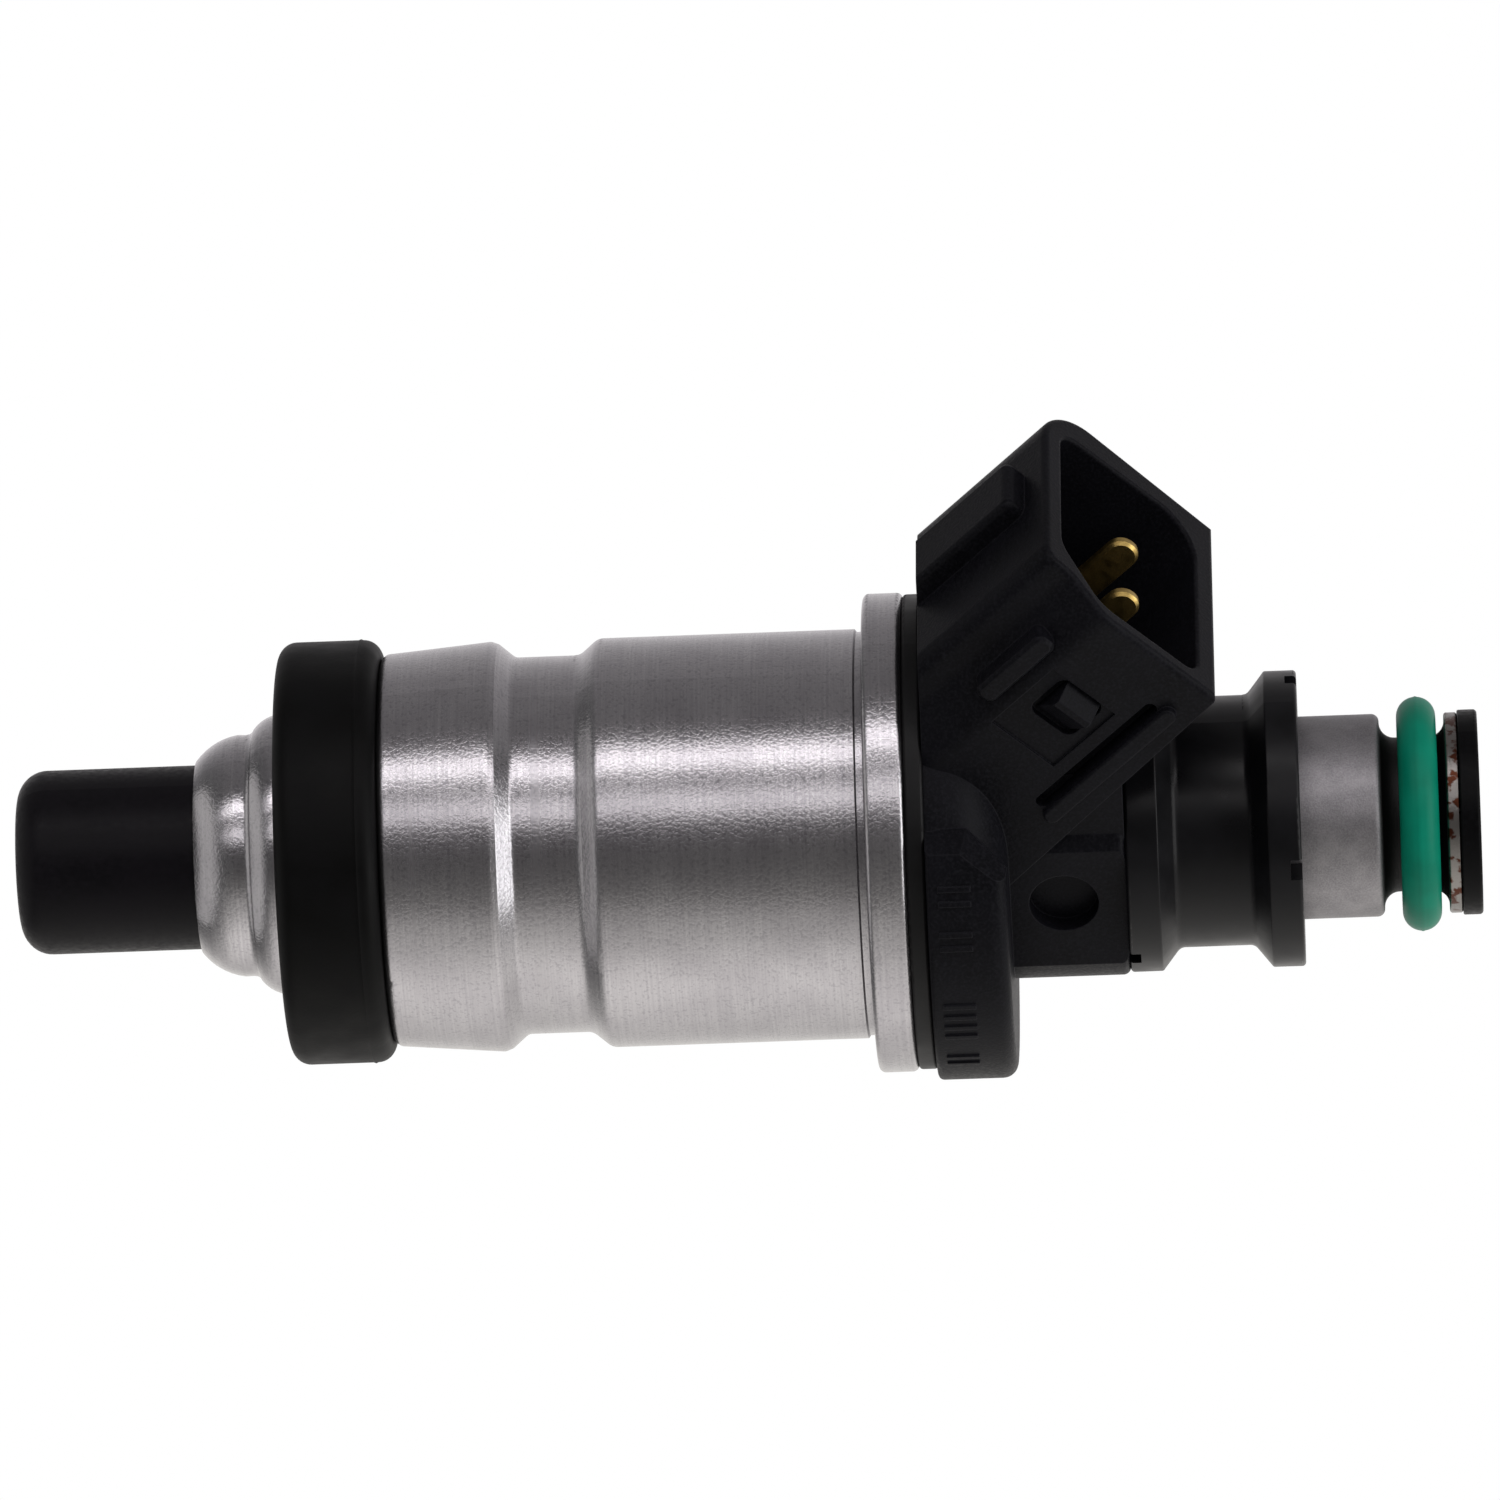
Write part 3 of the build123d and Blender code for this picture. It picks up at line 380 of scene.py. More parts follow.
@dataclass(frozen=True)
class GroundSteel:
    """Hardened, ground steel: mirror-grey with a faint ground lay round the axis."""

    name: str
    colour: str = "#a8a8aa"
    roughness: float = 0.22
    lay_mm: float = 0.05
    lay_depth_mm: float = 0.002
    lay_stretch: tuple[float, float, float] = (0.1, 0.1, 1.0)
    shade: str = "#8a8a8d"
    smudge_mm: float = 1.5

    def build(self) -> bpy.types.Material:
        """Build the material.

        Returns:
            The material, with a fine lay round the axis and smudges in its shine.
        """
        material, tree, place = start_material(self.name)
        along = add_node(tree, Kind.MAPPING, {"Vector": place, "Scale": self.lay_stretch})
        marks = {"Vector": along, "Scale": per_mm(self.lay_mm), "Detail": 3.0}
        lay = add_node(tree, Kind.NOISE, marks)
        oil = {"Vector": place, "Scale": per_mm(self.smudge_mm), "Detail": 3.0}
        smudge = add_node(tree, Kind.NOISE, oil)
        greys = ((0.3, self.shade), (0.7, self.colour))
        tint = add_node(tree, Kind.RAMP, {"Fac": lay}, stops=greys)
        levels = ((0.3, self.roughness - 0.05), (0.7, self.roughness + 0.1))
        rough = add_node(tree, Kind.RAMP, {"Fac": smudge}, stops=levels)
        tooth = {"Height": lay, "Distance": self.lay_depth_mm * MM, "Strength": 1.0}
        shape = add_node(tree, Kind.BUMP, tooth)
        looks = {"Base Color": tint, "Roughness": rough, "Normal": shape}
        return end_material(material, {"Metallic": 1.0, **looks})


@dataclass(frozen=True)
class MouldedPlastic:
    """Nylon or acetal, injection moulded: orange-peel grain, flow clouds, worn edges with painted
    highlight.
    """

    name: str
    colour: str
    fleck: str
    roughness: float = 0.5
    grain_mm: float = 0.16
    grain_depth_mm: float = 0.016
    specular: float = 0.045
    edge_mm: float = 0.1
    # Paler colour for the rounded edges: partly wear, partly a painted highlight
    edge_wear_and_highlight: str = "#1d1d21"
    # Painted glints: a paler colour laid on the grain's peaks in place of small highlights
    painted_glint: str = "#18181c"
    cloud_mm: float = 4.0
    fine_share: float = 0.35
    fine_depth_share: float = 0.3
    ior: float = 1.52

    def build(self) -> bpy.types.Material:
        """Build the material.

        Returns:
            The material, with a coarse and a fine grain and rounded edges, paler from wear and a
            painted highlight.
        """
        material, tree, place = start_material(self.name)
        coarse = {"Vector": place, "Scale": per_mm(self.grain_mm), "Detail": 3.0}
        grain = add_node(tree, Kind.NOISE, coarse)
        small = {"Vector": place, "Scale": per_mm(self.grain_mm * self.fine_share), "Detail": 2.0}
        fine = add_node(tree, Kind.NOISE, small)
        flow = {"Vector": place, "Scale": per_mm(self.cloud_mm), "Detail": 3.0}
        cloud = add_node(tree, Kind.NOISE, flow)
        rounded, edge = rounded_edges(tree, self.edge_mm)
        tint = shaded(tree, cloud, (0.35, 0.65), self.colour, self.fleck)
        # Painted glints: the paler colour on the grain's peaks stands in for small highlights
        tint = shaded(tree, grain, (0.44, 0.76), tint, self.painted_glint)
        # Paler colour on the rounded edges: partly wear, partly a painted highlight where the edges
        # catch the light
        rubbed_and_lit_edges = {0: edge, 6: tint, 7: self.edge_wear_and_highlight}
        tint = add_node(tree, Kind.MIX, rubbed_and_lit_edges, 2, data_type="RGBA")
        levels = ((0.3, self.roughness - 0.07), (0.7, self.roughness + 0.1))
        rough = add_node(tree, Kind.RAMP, {"Fac": grain}, stops=levels)
        depth = self.grain_depth_mm * MM
        peel = {"Height": grain, "Distance": depth, "Strength": 1.0, "Normal": rounded}
        shape = add_node(tree, Kind.BUMP, peel)
        tooth = {"Height": fine, "Distance": depth * self.fine_depth_share, "Strength": 1.0}
        shape = add_node(tree, Kind.BUMP, {**tooth, "Normal": shape})
        shader = {"Metallic": 0.0, "IOR": self.ior, "Specular IOR Level": self.specular}
        looks = {"Base Color": tint, "Roughness": rough, "Normal": shape}
        return end_material(material, {**shader, **looks})


@dataclass(frozen=True)
class MouldedRubber:
    """Nitrile or fluorocarbon rubber, compression moulded: matte to satin, with faint bloom."""

    name: str
    colour: str
    bloom: str
    roughness: float = 0.6
    grain_mm: float = 0.2
    grain_depth_mm: float = 0.006
    specular: float = 0.15
    cloud_mm: float = 2.2
    ior: float = 1.5

    def build(self) -> bpy.types.Material:
        """Build the material.

        Returns:
            The material: a fine tooth under a cloudy bloom.
        """
        material, tree, place = start_material(self.name)
        tooth = {"Vector": place, "Scale": per_mm(self.grain_mm), "Detail": 3.0}
        grain = add_node(tree, Kind.NOISE, tooth)
        haze = {"Vector": place, "Scale": per_mm(self.cloud_mm), "Detail": 4.0}
        cloud = add_node(tree, Kind.NOISE, haze)
        tint = shaded(tree, cloud, (0.4, 0.75), self.colour, self.bloom)
        levels = ((0.3, self.roughness - 0.06), (0.7, self.roughness + 0.08))
        rough = add_node(tree, Kind.RAMP, {"Fac": cloud}, stops=levels)
        skin = {"Height": grain, "Distance": self.grain_depth_mm * MM, "Strength": 1.0}
        shape = add_node(tree, Kind.BUMP, skin)
        shader = {"Metallic": 0.0, "IOR": self.ior, "Specular IOR Level": self.specular}
        looks = {"Base Color": tint, "Roughness": rough, "Normal": shape}
        return end_material(material, {**shader, **looks})


@dataclass(frozen=True)
class StampedBrass:
    """Brass, stamped and lightly tarnished: warm, with drawn lines along the blade."""

    name: str
    colour: str = "#b3995b"
    tarnish: str = "#8a7040"
    roughness: float = 0.34
    line_mm: float = 0.08
    line_depth_mm: float = 0.004
    line_stretch: tuple[float, float, float] = (1.0, 1.0, 0.2)
    spot_mm: float = 0.6

    def build(self) -> bpy.types.Material:
        """Build the material.

        Returns:
            The material, with lines along the strip and spots of tarnish.
        """
        material, tree, place = start_material(self.name)
        along = add_node(tree, Kind.MAPPING, {"Vector": place, "Scale": self.line_stretch})
        drawn = {"Vector": along, "Scale": per_mm(self.line_mm), "Detail": 2.0}
        lines = add_node(tree, Kind.NOISE, drawn)
        dull = {"Vector": place, "Scale": per_mm(self.spot_mm), "Detail": 4.0}
        spots = add_node(tree, Kind.NOISE, dull)
        tint = shaded(tree, spots, (0.45, 0.7), self.colour, self.tarnish)
        levels = ((0.3, self.roughness - 0.05), (0.7, self.roughness + 0.15))
        rough = add_node(tree, Kind.RAMP, {"Fac": spots}, stops=levels)
        lay = {"Height": lines, "Distance": self.line_depth_mm * MM, "Strength": 1.0}
        shape = add_node(tree, Kind.BUMP, lay)
        looks = {"Base Color": tint, "Roughness": rough, "Normal": shape}
        return end_material(material, {"Metallic": 1.0, **looks})


@dataclass(frozen=True)
class DrawnWire:
    """Drawn wire, of spring steel or of enamelled copper: smooth, with a tinted skin."""

    name: str
    colour: str
    skin: str
    roughness: float = 0.25
    coat: float = 0.0
    patch_mm: float = 0.9
    line_mm: float = 0.06
    line_depth_mm: float = 0.002

    def build(self) -> bpy.types.Material:
        """Build the material.

        Returns:
            The material, with die lines and, for magnet wire, a coat of enamel.
        """
        material, tree, place = start_material(self.name)
        tinted = {"Vector": place, "Scale": per_mm(self.patch_mm), "Detail": 3.0}
        patch = add_node(tree, Kind.NOISE, tinted)
        drawn = {"Vector": place, "Scale": per_mm(self.line_mm), "Detail": 2.0}
        lines = add_node(tree, Kind.NOISE, drawn)
        tint = shaded(tree, patch, (0.4, 0.7), self.colour, self.skin)
        levels = ((0.3, self.roughness - 0.05), (0.7, self.roughness + 0.1))
        rough = add_node(tree, Kind.RAMP, {"Fac": lines}, stops=levels)
        lay = {"Height": lines, "Distance": self.line_depth_mm * MM, "Strength": 1.0}
        shape = add_node(tree, Kind.BUMP, lay)
        looks = {"Base Color": tint, "Roughness": rough, "Normal": shape}
        return end_material(material, {"Metallic": 1.0, "Coat Weight": self.coat, **looks})


# ---------------------------------------------------------------- shared steps of modelling
def dress(node_name: str, finish: Any) -> tuple[str, str]:
    """Give a CAD node its finish.

    Args:
        node_name: The node's name in the frame.
        finish: A finish with a build method.

    Returns:
        The node's and the finish's name.
    """
    material = bpy.data.materials.get(finish.name) or finish.build()
    for slot in bpy.data.objects[node_name].material_slots:
        slot.material = material
    return node_name, finish.name


def select_only(piece: bpy.types.Object) -> None:
    """Make the piece the active object and the only one selected."""
    bpy.ops.object.select_all(action="DESELECT")
    piece.select_set(True)
    bpy.context.view_layer.objects.active = piece


def piece_started(name: str) -> bpy.types.Object:
    """Name the primitive just added, put its place into its mesh and open it in edit mode.

    Args:
        name: The piece's name.

    Returns:
        The piece, in edit mode with nothing selected.
    """
    piece = bpy.context.object
    piece.name = piece.data.name = name
    bpy.ops.object.transform_apply(location=True, rotation=True, scale=True)
    bpy.ops.object.mode_set(mode="EDIT")
    bpy.ops.mesh.select_all(action="DESELECT")
    return piece


def rectangle(
    name: str, inner: float, outer: float, middle: float, height: float
) -> bpy.types.Object:
    """Start a piece from an upright rectangle beside the injector's axis.

    Args:
        name: The piece's name.
        inner: Its side nearest the axis, as a radius.
        outer: Its far side, as a radius.
        middle: The height of its middle.
        height: How tall it is.

    Returns:
        The piece, in edit mode with nothing selected.
    """
    bpy.ops.object.select_all(action="DESELECT")
    place = ((inner + outer) / 2, 0, middle)
    bpy.ops.mesh.primitive_plane_add(size=1, location=place, rotation=UPRIGHT)
    bpy.context.object.scale = (outer - inner, height, 1)
    return piece_started(name)


def pick(piece: bpy.types.Object, wanted: Callable[[Vector], bool]) -> None:
    """Select vertices by their place, and no others.

    Args:
        piece: The piece in edit mode.
        wanted: Says of a place whether a vertex there is selected.
    """
    bpy.ops.mesh.select_all(action="DESELECT")
    mesh = bmesh.from_edit_mesh(piece.data)
    bpy.context.tool_settings.mesh_select_mode = (True, False, False)
    for vertex in mesh.verts:
        vertex.select = wanted(vertex.co)
    mesh.select_flush_mode()
    bmesh.update_edit_mesh(piece.data)


def spin_section(height: float, steps: int) -> None:
    """Spin the section in edit mode round the injector's axis, weld it and face it outwards.

    Args:
        height: The height of the section's middle.
        steps: How many steps the turn takes.
    """
    bpy.ops.mesh.select_all(action="SELECT")
    bpy.ops.mesh.spin(steps=steps, angle=2 * math.pi, center=(0, 0, height), axis=(0, 0, 1))
    bpy.ops.mesh.select_all(action="SELECT")
    bpy.ops.mesh.remove_doubles(threshold=WELD)
    bpy.ops.mesh.normals_make_consistent(inside=False)
    bpy.ops.object.mode_set(mode="OBJECT")


def stand_in(
    piece: bpy.types.Object, node_name: str, body: str | None, finish: Any
) -> tuple[str, str]:
    """Finish a modelled piece that stands for a CAD node.

    Args:
        piece: The finished mesh.
        node_name: The node that it replaces.
        body: The body that it rides on, or None to leave it on no body.
        finish: Its finish.

    Returns:
        The piece's and the finish's name.
    """
    select_only(piece)
    bpy.ops.object.shade_smooth_by_angle(angle=SMOOTH_ANGLE)
    piece.data.materials.clear()
    piece.data.materials.append(finish.build())
    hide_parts(node_name)
    if body is not None:
        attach(piece, body)
    return piece.name, finish.name


# ---------------------------------------------------------------- modelled pieces
@dataclass(frozen=True)
class ManifoldSeal:
    """The thick sealing ring, moulded in two halves, with the flash line that they leave."""

    bore_mm: float = 7.4
    round_mm: float = 0.95
    round_segments: int = 10
    inner_round_mm: float = 0.3
    inner_segments: int = 4
    flash_mm: float = 0.05
    flash_width_mm: float = 0.12
    flash_from_top_mm: float = 1.1
    wall_cuts: int = 31
    steps: int = 180

    def make(self) -> Made:
        """Draw the section, round its corners, raise the flash line and spin it.

        Returns:
            The piece's and the finish's name.
        """
        low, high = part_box("manifold_seal_ring")
        bore = self.bore_mm * MM
        outer = high[0] - self.flash_mm * MM
        middle = (low[2] + high[2]) / 2
        ring = rectangle("manifold_seal_moulded", bore, outer, middle, high[2] - low[2])
        pick(ring, lambda at: at.x > (bore + outer) / 2)
        bpy.ops.mesh.bevel(
            offset=self.round_mm * MM, segments=self.round_segments, affect="VERTICES"
        )
        pick(ring, lambda at: at.x < bore + NEAR)
        bpy.ops.mesh.bevel(
            offset=self.inner_round_mm * MM, segments=self.inner_segments, affect="VERTICES"
        )
        bpy.ops.mesh.select_all(action="SELECT")
        bpy.ops.mesh.delete(type="ONLY_FACE")
        pick(ring, lambda at: at.x > outer - NEAR)
        bpy.ops.mesh.subdivide(number_cuts=self.wall_cuts)
        flash = high[2] - self.flash_from_top_mm * MM
        reach = self.flash_width_mm / 2 * MM
        pick(ring, lambda at: at.x > outer - NEAR and abs(at.z - flash) < reach)
        bpy.ops.transform.translate(value=(self.flash_mm * MM, 0, 0))
        spin_section(middle, self.steps)
        # The darkest piece: deep black with one weak, soft highlight along its wall
        rubber = MouldedRubber(
            "moulded_nitrile_seal", "#040404", "#070708", roughness=0.5, specular=0.08
        )
        return [stand_in(ring, "manifold_seal_ring", BODY, rubber)]


@dataclass(frozen=True)
class InletSeal:
    """The green ring on the inlet, with the flash line round its waist."""

    points: int = 48
    flash_mm: float = 0.03
    steps: int = 160

    def make(self) -> Made:
        """Draw the round section, raise the flash line and spin it.

        Returns:
            The piece's and the finish's name.
        """
        low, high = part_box("inlet_o_ring")
        middle = (low[2] + high[2]) / 2
        reach = (high[2] - low[2]) / 2
        centre = high[0] - reach
        bpy.ops.object.select_all(action="DESELECT")
        bpy.ops.mesh.primitive_circle_add(
            vertices=self.points,
            radius=reach - self.flash_mm * MM,
            location=(centre, 0, middle),
            rotation=UPRIGHT,
        )
        ring = piece_started("inlet_seal_moulded")
        pick(ring, lambda at: abs(at.z - middle) < NEAR and at.x > centre)
        bpy.ops.transform.translate(value=(self.flash_mm * MM, 0, 0))
        spin_section(middle, self.steps)
        # Fuel-proof rubber is dyed through: a saturated green that stays even in the highlight
        rubber = MouldedRubber(
            "moulded_green_fluorocarbon",
            "#006d56",
            "#007a61",
            roughness=0.42,
            grain_mm=0.25,
            specular=0.1,
        )
        return [stand_in(ring, "inlet_o_ring", BODY, rubber)]


@dataclass(frozen=True)
class FilterMesh:
    """The filter's woven sleeve, as crossing wires."""

    wires_round: int = 48
    wire_mm: float = 0.06
    wave_mm: float = 0.025

    def make(self) -> Made:
        """Divide an open tube into cells, wave its crossings and turn its edges into wires.

        Returns:
            The piece's and the finish's name.
        """
        low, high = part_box("filter_screen")
        radius = high[0] - (self.wire_mm / 2 + self.wave_mm) * MM
        height = high[2] - low[2] - self.wire_mm * MM
        middle = (low[2] + high[2]) / 2
        bpy.ops.object.select_all(action="DESELECT")
        bpy.ops.mesh.primitive_cylinder_add(
            vertices=self.wires_round,
            radius=radius,
            depth=height,
            end_fill_type="NOTHING",
            location=(0, 0, middle),
        )
        mesh = piece_started("filter_mesh_woven")
        cell = 2 * math.pi * radius / self.wires_round
        cuts = round(height / cell) - 1
        cage = bmesh.from_edit_mesh(mesh.data)
        bpy.context.tool_settings.mesh_select_mode = (False, True, False)
        for edge in cage.edges:
            edge.select = abs(edge.verts[0].co.z - edge.verts[1].co.z) > cell
        bmesh.update_edit_mesh(mesh.data)
        bpy.ops.mesh.subdivide(number_cuts=cuts)
        row = height / (cuts + 1)
        turn = 2 * math.pi / self.wires_round

        def over(at: Vector) -> bool:
            """True at every second crossing, as on a chess board."""
            return (round(math.atan2(at.y, at.x) / turn) + round((at.z - low[2]) / row)) % 2 == 0

        pick(mesh, over)
        grow = 1 + self.wave_mm * MM / radius
        bpy.ops.transform.resize(value=(grow, grow, 1), center_override=(0, 0, middle))
        bpy.ops.object.mode_set(mode="OBJECT")
        wires = mesh.modifiers.new("wires", "WIREFRAME")
        wires.thickness = self.wire_mm * MM
        wires.use_even_offset = True
        bpy.ops.object.modifier_apply(modifier=wires.name)
        # Fine bright wire, seen as a grey veil over the frame behind it
        wire = GroundSteel("woven_stainless_wire", "#9a9a9c", roughness=0.35, lay_mm=0.2)
        return [stand_in(mesh, "filter_screen", BODY, wire)]


@dataclass(frozen=True)
class ReturnSpring:
    """The closing spring, which shortens between armature and adjuster as the valve lifts."""

    name: str = "return_spring_wire"

    def make(self) -> Made:
        """Weld a copy of the spring's turns and give it its finish.

        Returns:
            The piece's and the finish's name.
        """
        turns = bpy.data.objects["return_spring"].data.copy()
        spring = bpy.data.objects.new(self.name, turns)
        bpy.context.scene.collection.objects.link(spring)
        select_only(spring)
        bpy.ops.object.mode_set(mode="EDIT")
        bpy.ops.mesh.select_all(action="SELECT")
        bpy.ops.mesh.remove_doubles(threshold=WELD)
        bpy.ops.object.mode_set(mode="OBJECT")
        # Cold-drawn wire with a faint brown temper skin
        steel = DrawnWire("drawn_spring_wire", "#8b8b8e", "#6c6a68")
        made = stand_in(spring, "return_spring", None, steel)
        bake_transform(spring)
        return [made]


@dataclass(frozen=True)
class Winding:
    """The coil's copper wire: one turn, repeated along the spool, round a closed core."""

    hub_mm: float = 5.10
    wire_mm: float = 0.32
    wire_sides: int = 10
    turn_faces: int = 72

    def make(self) -> Made:
        """Model one outer turn and its copies, then the sleeve of inner turns, and join them.

        Returns:
            The piece's and the finish's name.
        """
        low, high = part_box("coil_winding")
        height = high[2] - low[2]
        middle = (low[2] + high[2]) / 2
        radius = self.wire_mm * MM / 2
        count = int(height / (self.wire_mm * MM))
        pitch = height / count
        bpy.ops.object.select_all(action="DESELECT")
        bpy.ops.mesh.primitive_circle_add(
            vertices=self.wire_sides,
            radius=radius,
            location=(high[0] - radius, 0, low[2] + pitch / 2),
            rotation=UPRIGHT,
        )
        turns = piece_started("coil_winding_turns")
        spin_section(middle, self.turn_faces)
        rows = turns.modifiers.new("rows", "ARRAY")
        rows.count = count
        rows.use_relative_offset = False
        rows.use_constant_offset = True
        rows.constant_offset_displace = (0, 0, pitch)
        bpy.ops.object.modifier_apply(modifier=rows.name)
        hub = self.hub_mm * MM
        sleeve = rectangle("coil_inner_turns", hub, high[0] - radius, middle, height)
        bpy.ops.mesh.select_all(action="SELECT")
        bpy.ops.mesh.delete(type="ONLY_FACE")
        spin_section(middle, self.turn_faces)
        turns.select_set(True)
        sleeve.select_set(True)
        bpy.context.view_layer.objects.active = turns
        bpy.ops.object.join()
        # Copper seen through a thin amber enamel, which adds a second, sharper highlight
        copper = DrawnWire("enamelled_copper_wire", "#b0592c", "#8f4521", coat=0.6)
        return [stand_in(turns, "coil_winding", BODY, copper)]


# ---------------------------------------------------------------- the injector's sub-assemblies
@dataclass(frozen=True)
class Casing:
    """The turned steel casing and the rubber rings that sit on it."""

    seal: ManifoldSeal = field(default_factory=ManifoldSeal)

    def make(self) -> Made:
        """Dress the casing, model the sealing ring and dress the dust seal.

        Returns:
            Each piece's and its finish's name.
        """
        seal_low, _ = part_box("manifold_seal_ring")
        # Bright streaks along the barrel with fine rings across them; smoother on the skirt
        steel = TurnedSteel("turned_low_carbon_steel", smooth_below=seal_low[2])
        # A thin satin line of black between the steel and the moulding
        rubber = MouldedRubber("moulded_nitrile_dust_seal", "#09090a", "#0f0f10", roughness=0.45)
        casing = dress("solenoid_housing", steel)
        return [casing, *self.seal.make(), dress("dust_seal_ring", rubber)]


@dataclass(frozen=True)
class ValveParts:
    """The nozzle end and the parts that meter the fuel."""

    spring: ReturnSpring = field(default_factory=ReturnSpring)

    def make(self) -> Made:
        """Dress the valve parts.

        Returns:
            Each piece's and its finish's name.
        """
        # From a polished tool: a smooth, soft black without the moulding's sparkle
        cap = MouldedPlastic(
            "moulded_nylon_cap",
            "#0b0a0d",
            "#0f0d11",
            roughness=0.4,
            grain_mm=0.3,
            grain_depth_mm=0.003,
            specular=0.07,
            edge_wear_and_highlight="#17161a",
            painted_glint="#100e12",
        )
        # Hard and bright, with a mirror-like streak
        hardened = GroundSteel("ground_hardened_steel")
        # Softer iron off the lathe: greyer and duller than the ground parts
        iron = GroundSteel("machined_soft_iron", "#8e8d8b", roughness=0.35, lay_mm=0.12)
        # Rolled strip with a faint brown temper skin
        strip = DrawnWire("rolled_spring_steel", "#8b8b8e", "#6c6a68")
        # Brown rings tell the fuel seals from the black ones outside
        brown = MouldedRubber("moulded_brown_fluorocarbon", "#33211a", "#3d2a20", roughness=0.45)
        made = [dress("pintle_cap", cap)]
        made += [dress(name, hardened) for name in ("nozzle_body", "needle", "stop_plate")]
        made += [dress(name, iron) for name in ("armature", "yoke_plate")]
        made += self.spring.make()
        made += [dress("spring_adjuster", strip)]
        rings = ("nozzle_body_o_ring", "bobbin_lower_o_ring", "bobbin_upper_o_ring")
        return made + [dress(name, brown) for name in rings]


@dataclass(frozen=True)
class Coil:
    """Bobbin and winding."""

    winding: Winding = field(default_factory=Winding)

    def make(self) -> Made:
        """Dress the bobbin and model its winding.

        Returns:
            Each piece's and its finish's name.
        """
        # Undyed nylon: warm ivory with a soft wax-like shine
        nylon = MouldedPlastic(
            "moulded_natural_nylon",
            "#c7bd98",
            "#d2c9a8",
            roughness=0.4,
            grain_mm=0.4,
            grain_depth_mm=0.004,
            specular=0.5,
            edge_wear_and_highlight="#d8d0b4",
            painted_glint="#d6cdab",
        )
        return [dress("coil_bobbin", nylon), *self.winding.make()]


@dataclass(frozen=True)
class Connector:
    """The moulded socket and its two blades."""

    moulding: str = "connector_overmould"
    blades: tuple[str, ...] = ("terminal_left", "terminal_right")

    def make(self) -> Made:
        """Dress the moulding and the blades.

        Returns:
            Each piece's and its finish's name.
        """
        # Spark-eroded grain: near black, broken up by many small soft glints painted into its
        # colour
        nylon = MouldedPlastic("eroded_glass_filled_nylon", "#0b0b0e", "#0f0f13", roughness=0.42)
        # Warm yellow that picks the blades out of the dark socket
        brass = StampedBrass("stamped_brass_strip")
        return [dress(self.moulding, nylon), *(dress(name, brass) for name in self.blades)]


@dataclass(frozen=True)
class Inlet:
    """The fuel inlet: tube, rings, washer and filter."""

    seal: InletSeal = field(default_factory=InletSeal)
    screen: FilterMesh = field(default_factory=FilterMesh)
    groove_reach_mm: float = 0.9
    lip_reach_mm: float = 1.0

    def make(self) -> Made:
        """Dress the inlet and model its ring and filter mesh.

        Returns:
            Each piece's and its finish's name.
        """
        ring_low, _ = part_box("inlet_o_ring")
        washer_low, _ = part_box("inlet_end_washer")
        _, tube_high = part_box("core_tube")
        # Even frosted grey with no streaks, painted shade darkening the ring's groove, bright and
        # rusty at the lip
        steel = BlastedSteel(
            "blasted_stainless_steel",
            lip_low=washer_low[2],
            lip_high=tube_high[2] + self.lip_reach_mm * MM,
            groove_low=ring_low[2] - self.groove_reach_mm * MM,
        )
        # Soft satin black with a broad highlight on the rounded rims
        cushion = MouldedRubber(
            "moulded_cushion_rubber",
            "#09090b",
            "#0e0e11",
            roughness=0.33,
            grain_mm=0.5,
            grain_depth_mm=0.003,
        )
        # Black acetal from a polished tool: an almost plain dark disc with a thin pale edge, partly
        # wear and partly painted highlight
        black = MouldedPlastic(
            "moulded_acetal_washer",
            "#060607",
            "#09090a",
            roughness=0.38,
            grain_mm=0.3,
            grain_depth_mm=0.003,
            edge_wear_and_highlight="#151517",
            painted_glint="#0a0a0c",
        )
        # Free-cutting brass: yellower and a little shinier than the blades
        brass = StampedBrass("turned_brass_collar", "#b58f4c", "#8f6c35", roughness=0.3)
        # Undyed acetal: milky white, glossier than the bobbin
        natural = MouldedPlastic(
            "moulded_natural_acetal",
            "#cfc8b2",
            "#d8d2bf",
            roughness=0.4,
            grain_mm=0.4,
            grain_depth_mm=0.004,
            specular=0.5,
            edge_wear_and_highlight="#ded9c9",
            painted_glint="#dad4c2",
        )
        made = [dress("core_tube", steel), dress("cushion_ring", cushion)]
        made += self.seal.make()
        made += [dress("inlet_end_washer", black), dress("filter_collar", brass)]
        return made + [dress("filter_frame", natural), *self.screen.make()]


# ---------------------------------------------------------------- studio
class Side(Enum):
    """Which way a light stands from the lens axis, as a share of the camera's right."""

    NOZZLE = -1.0
    INLET = 1.0


@dataclass(frozen=True)
class Softbox:
    """A soft light, turned from the lens axis towards one end of the injector.

    Its size is its height in the view and its depth, in metres.
    """

    name: str
    side: Side
    angle_deg: float
    watts: float
    size: tuple[float, float] = (0.5, 0.3)
    distance: float = 0.6


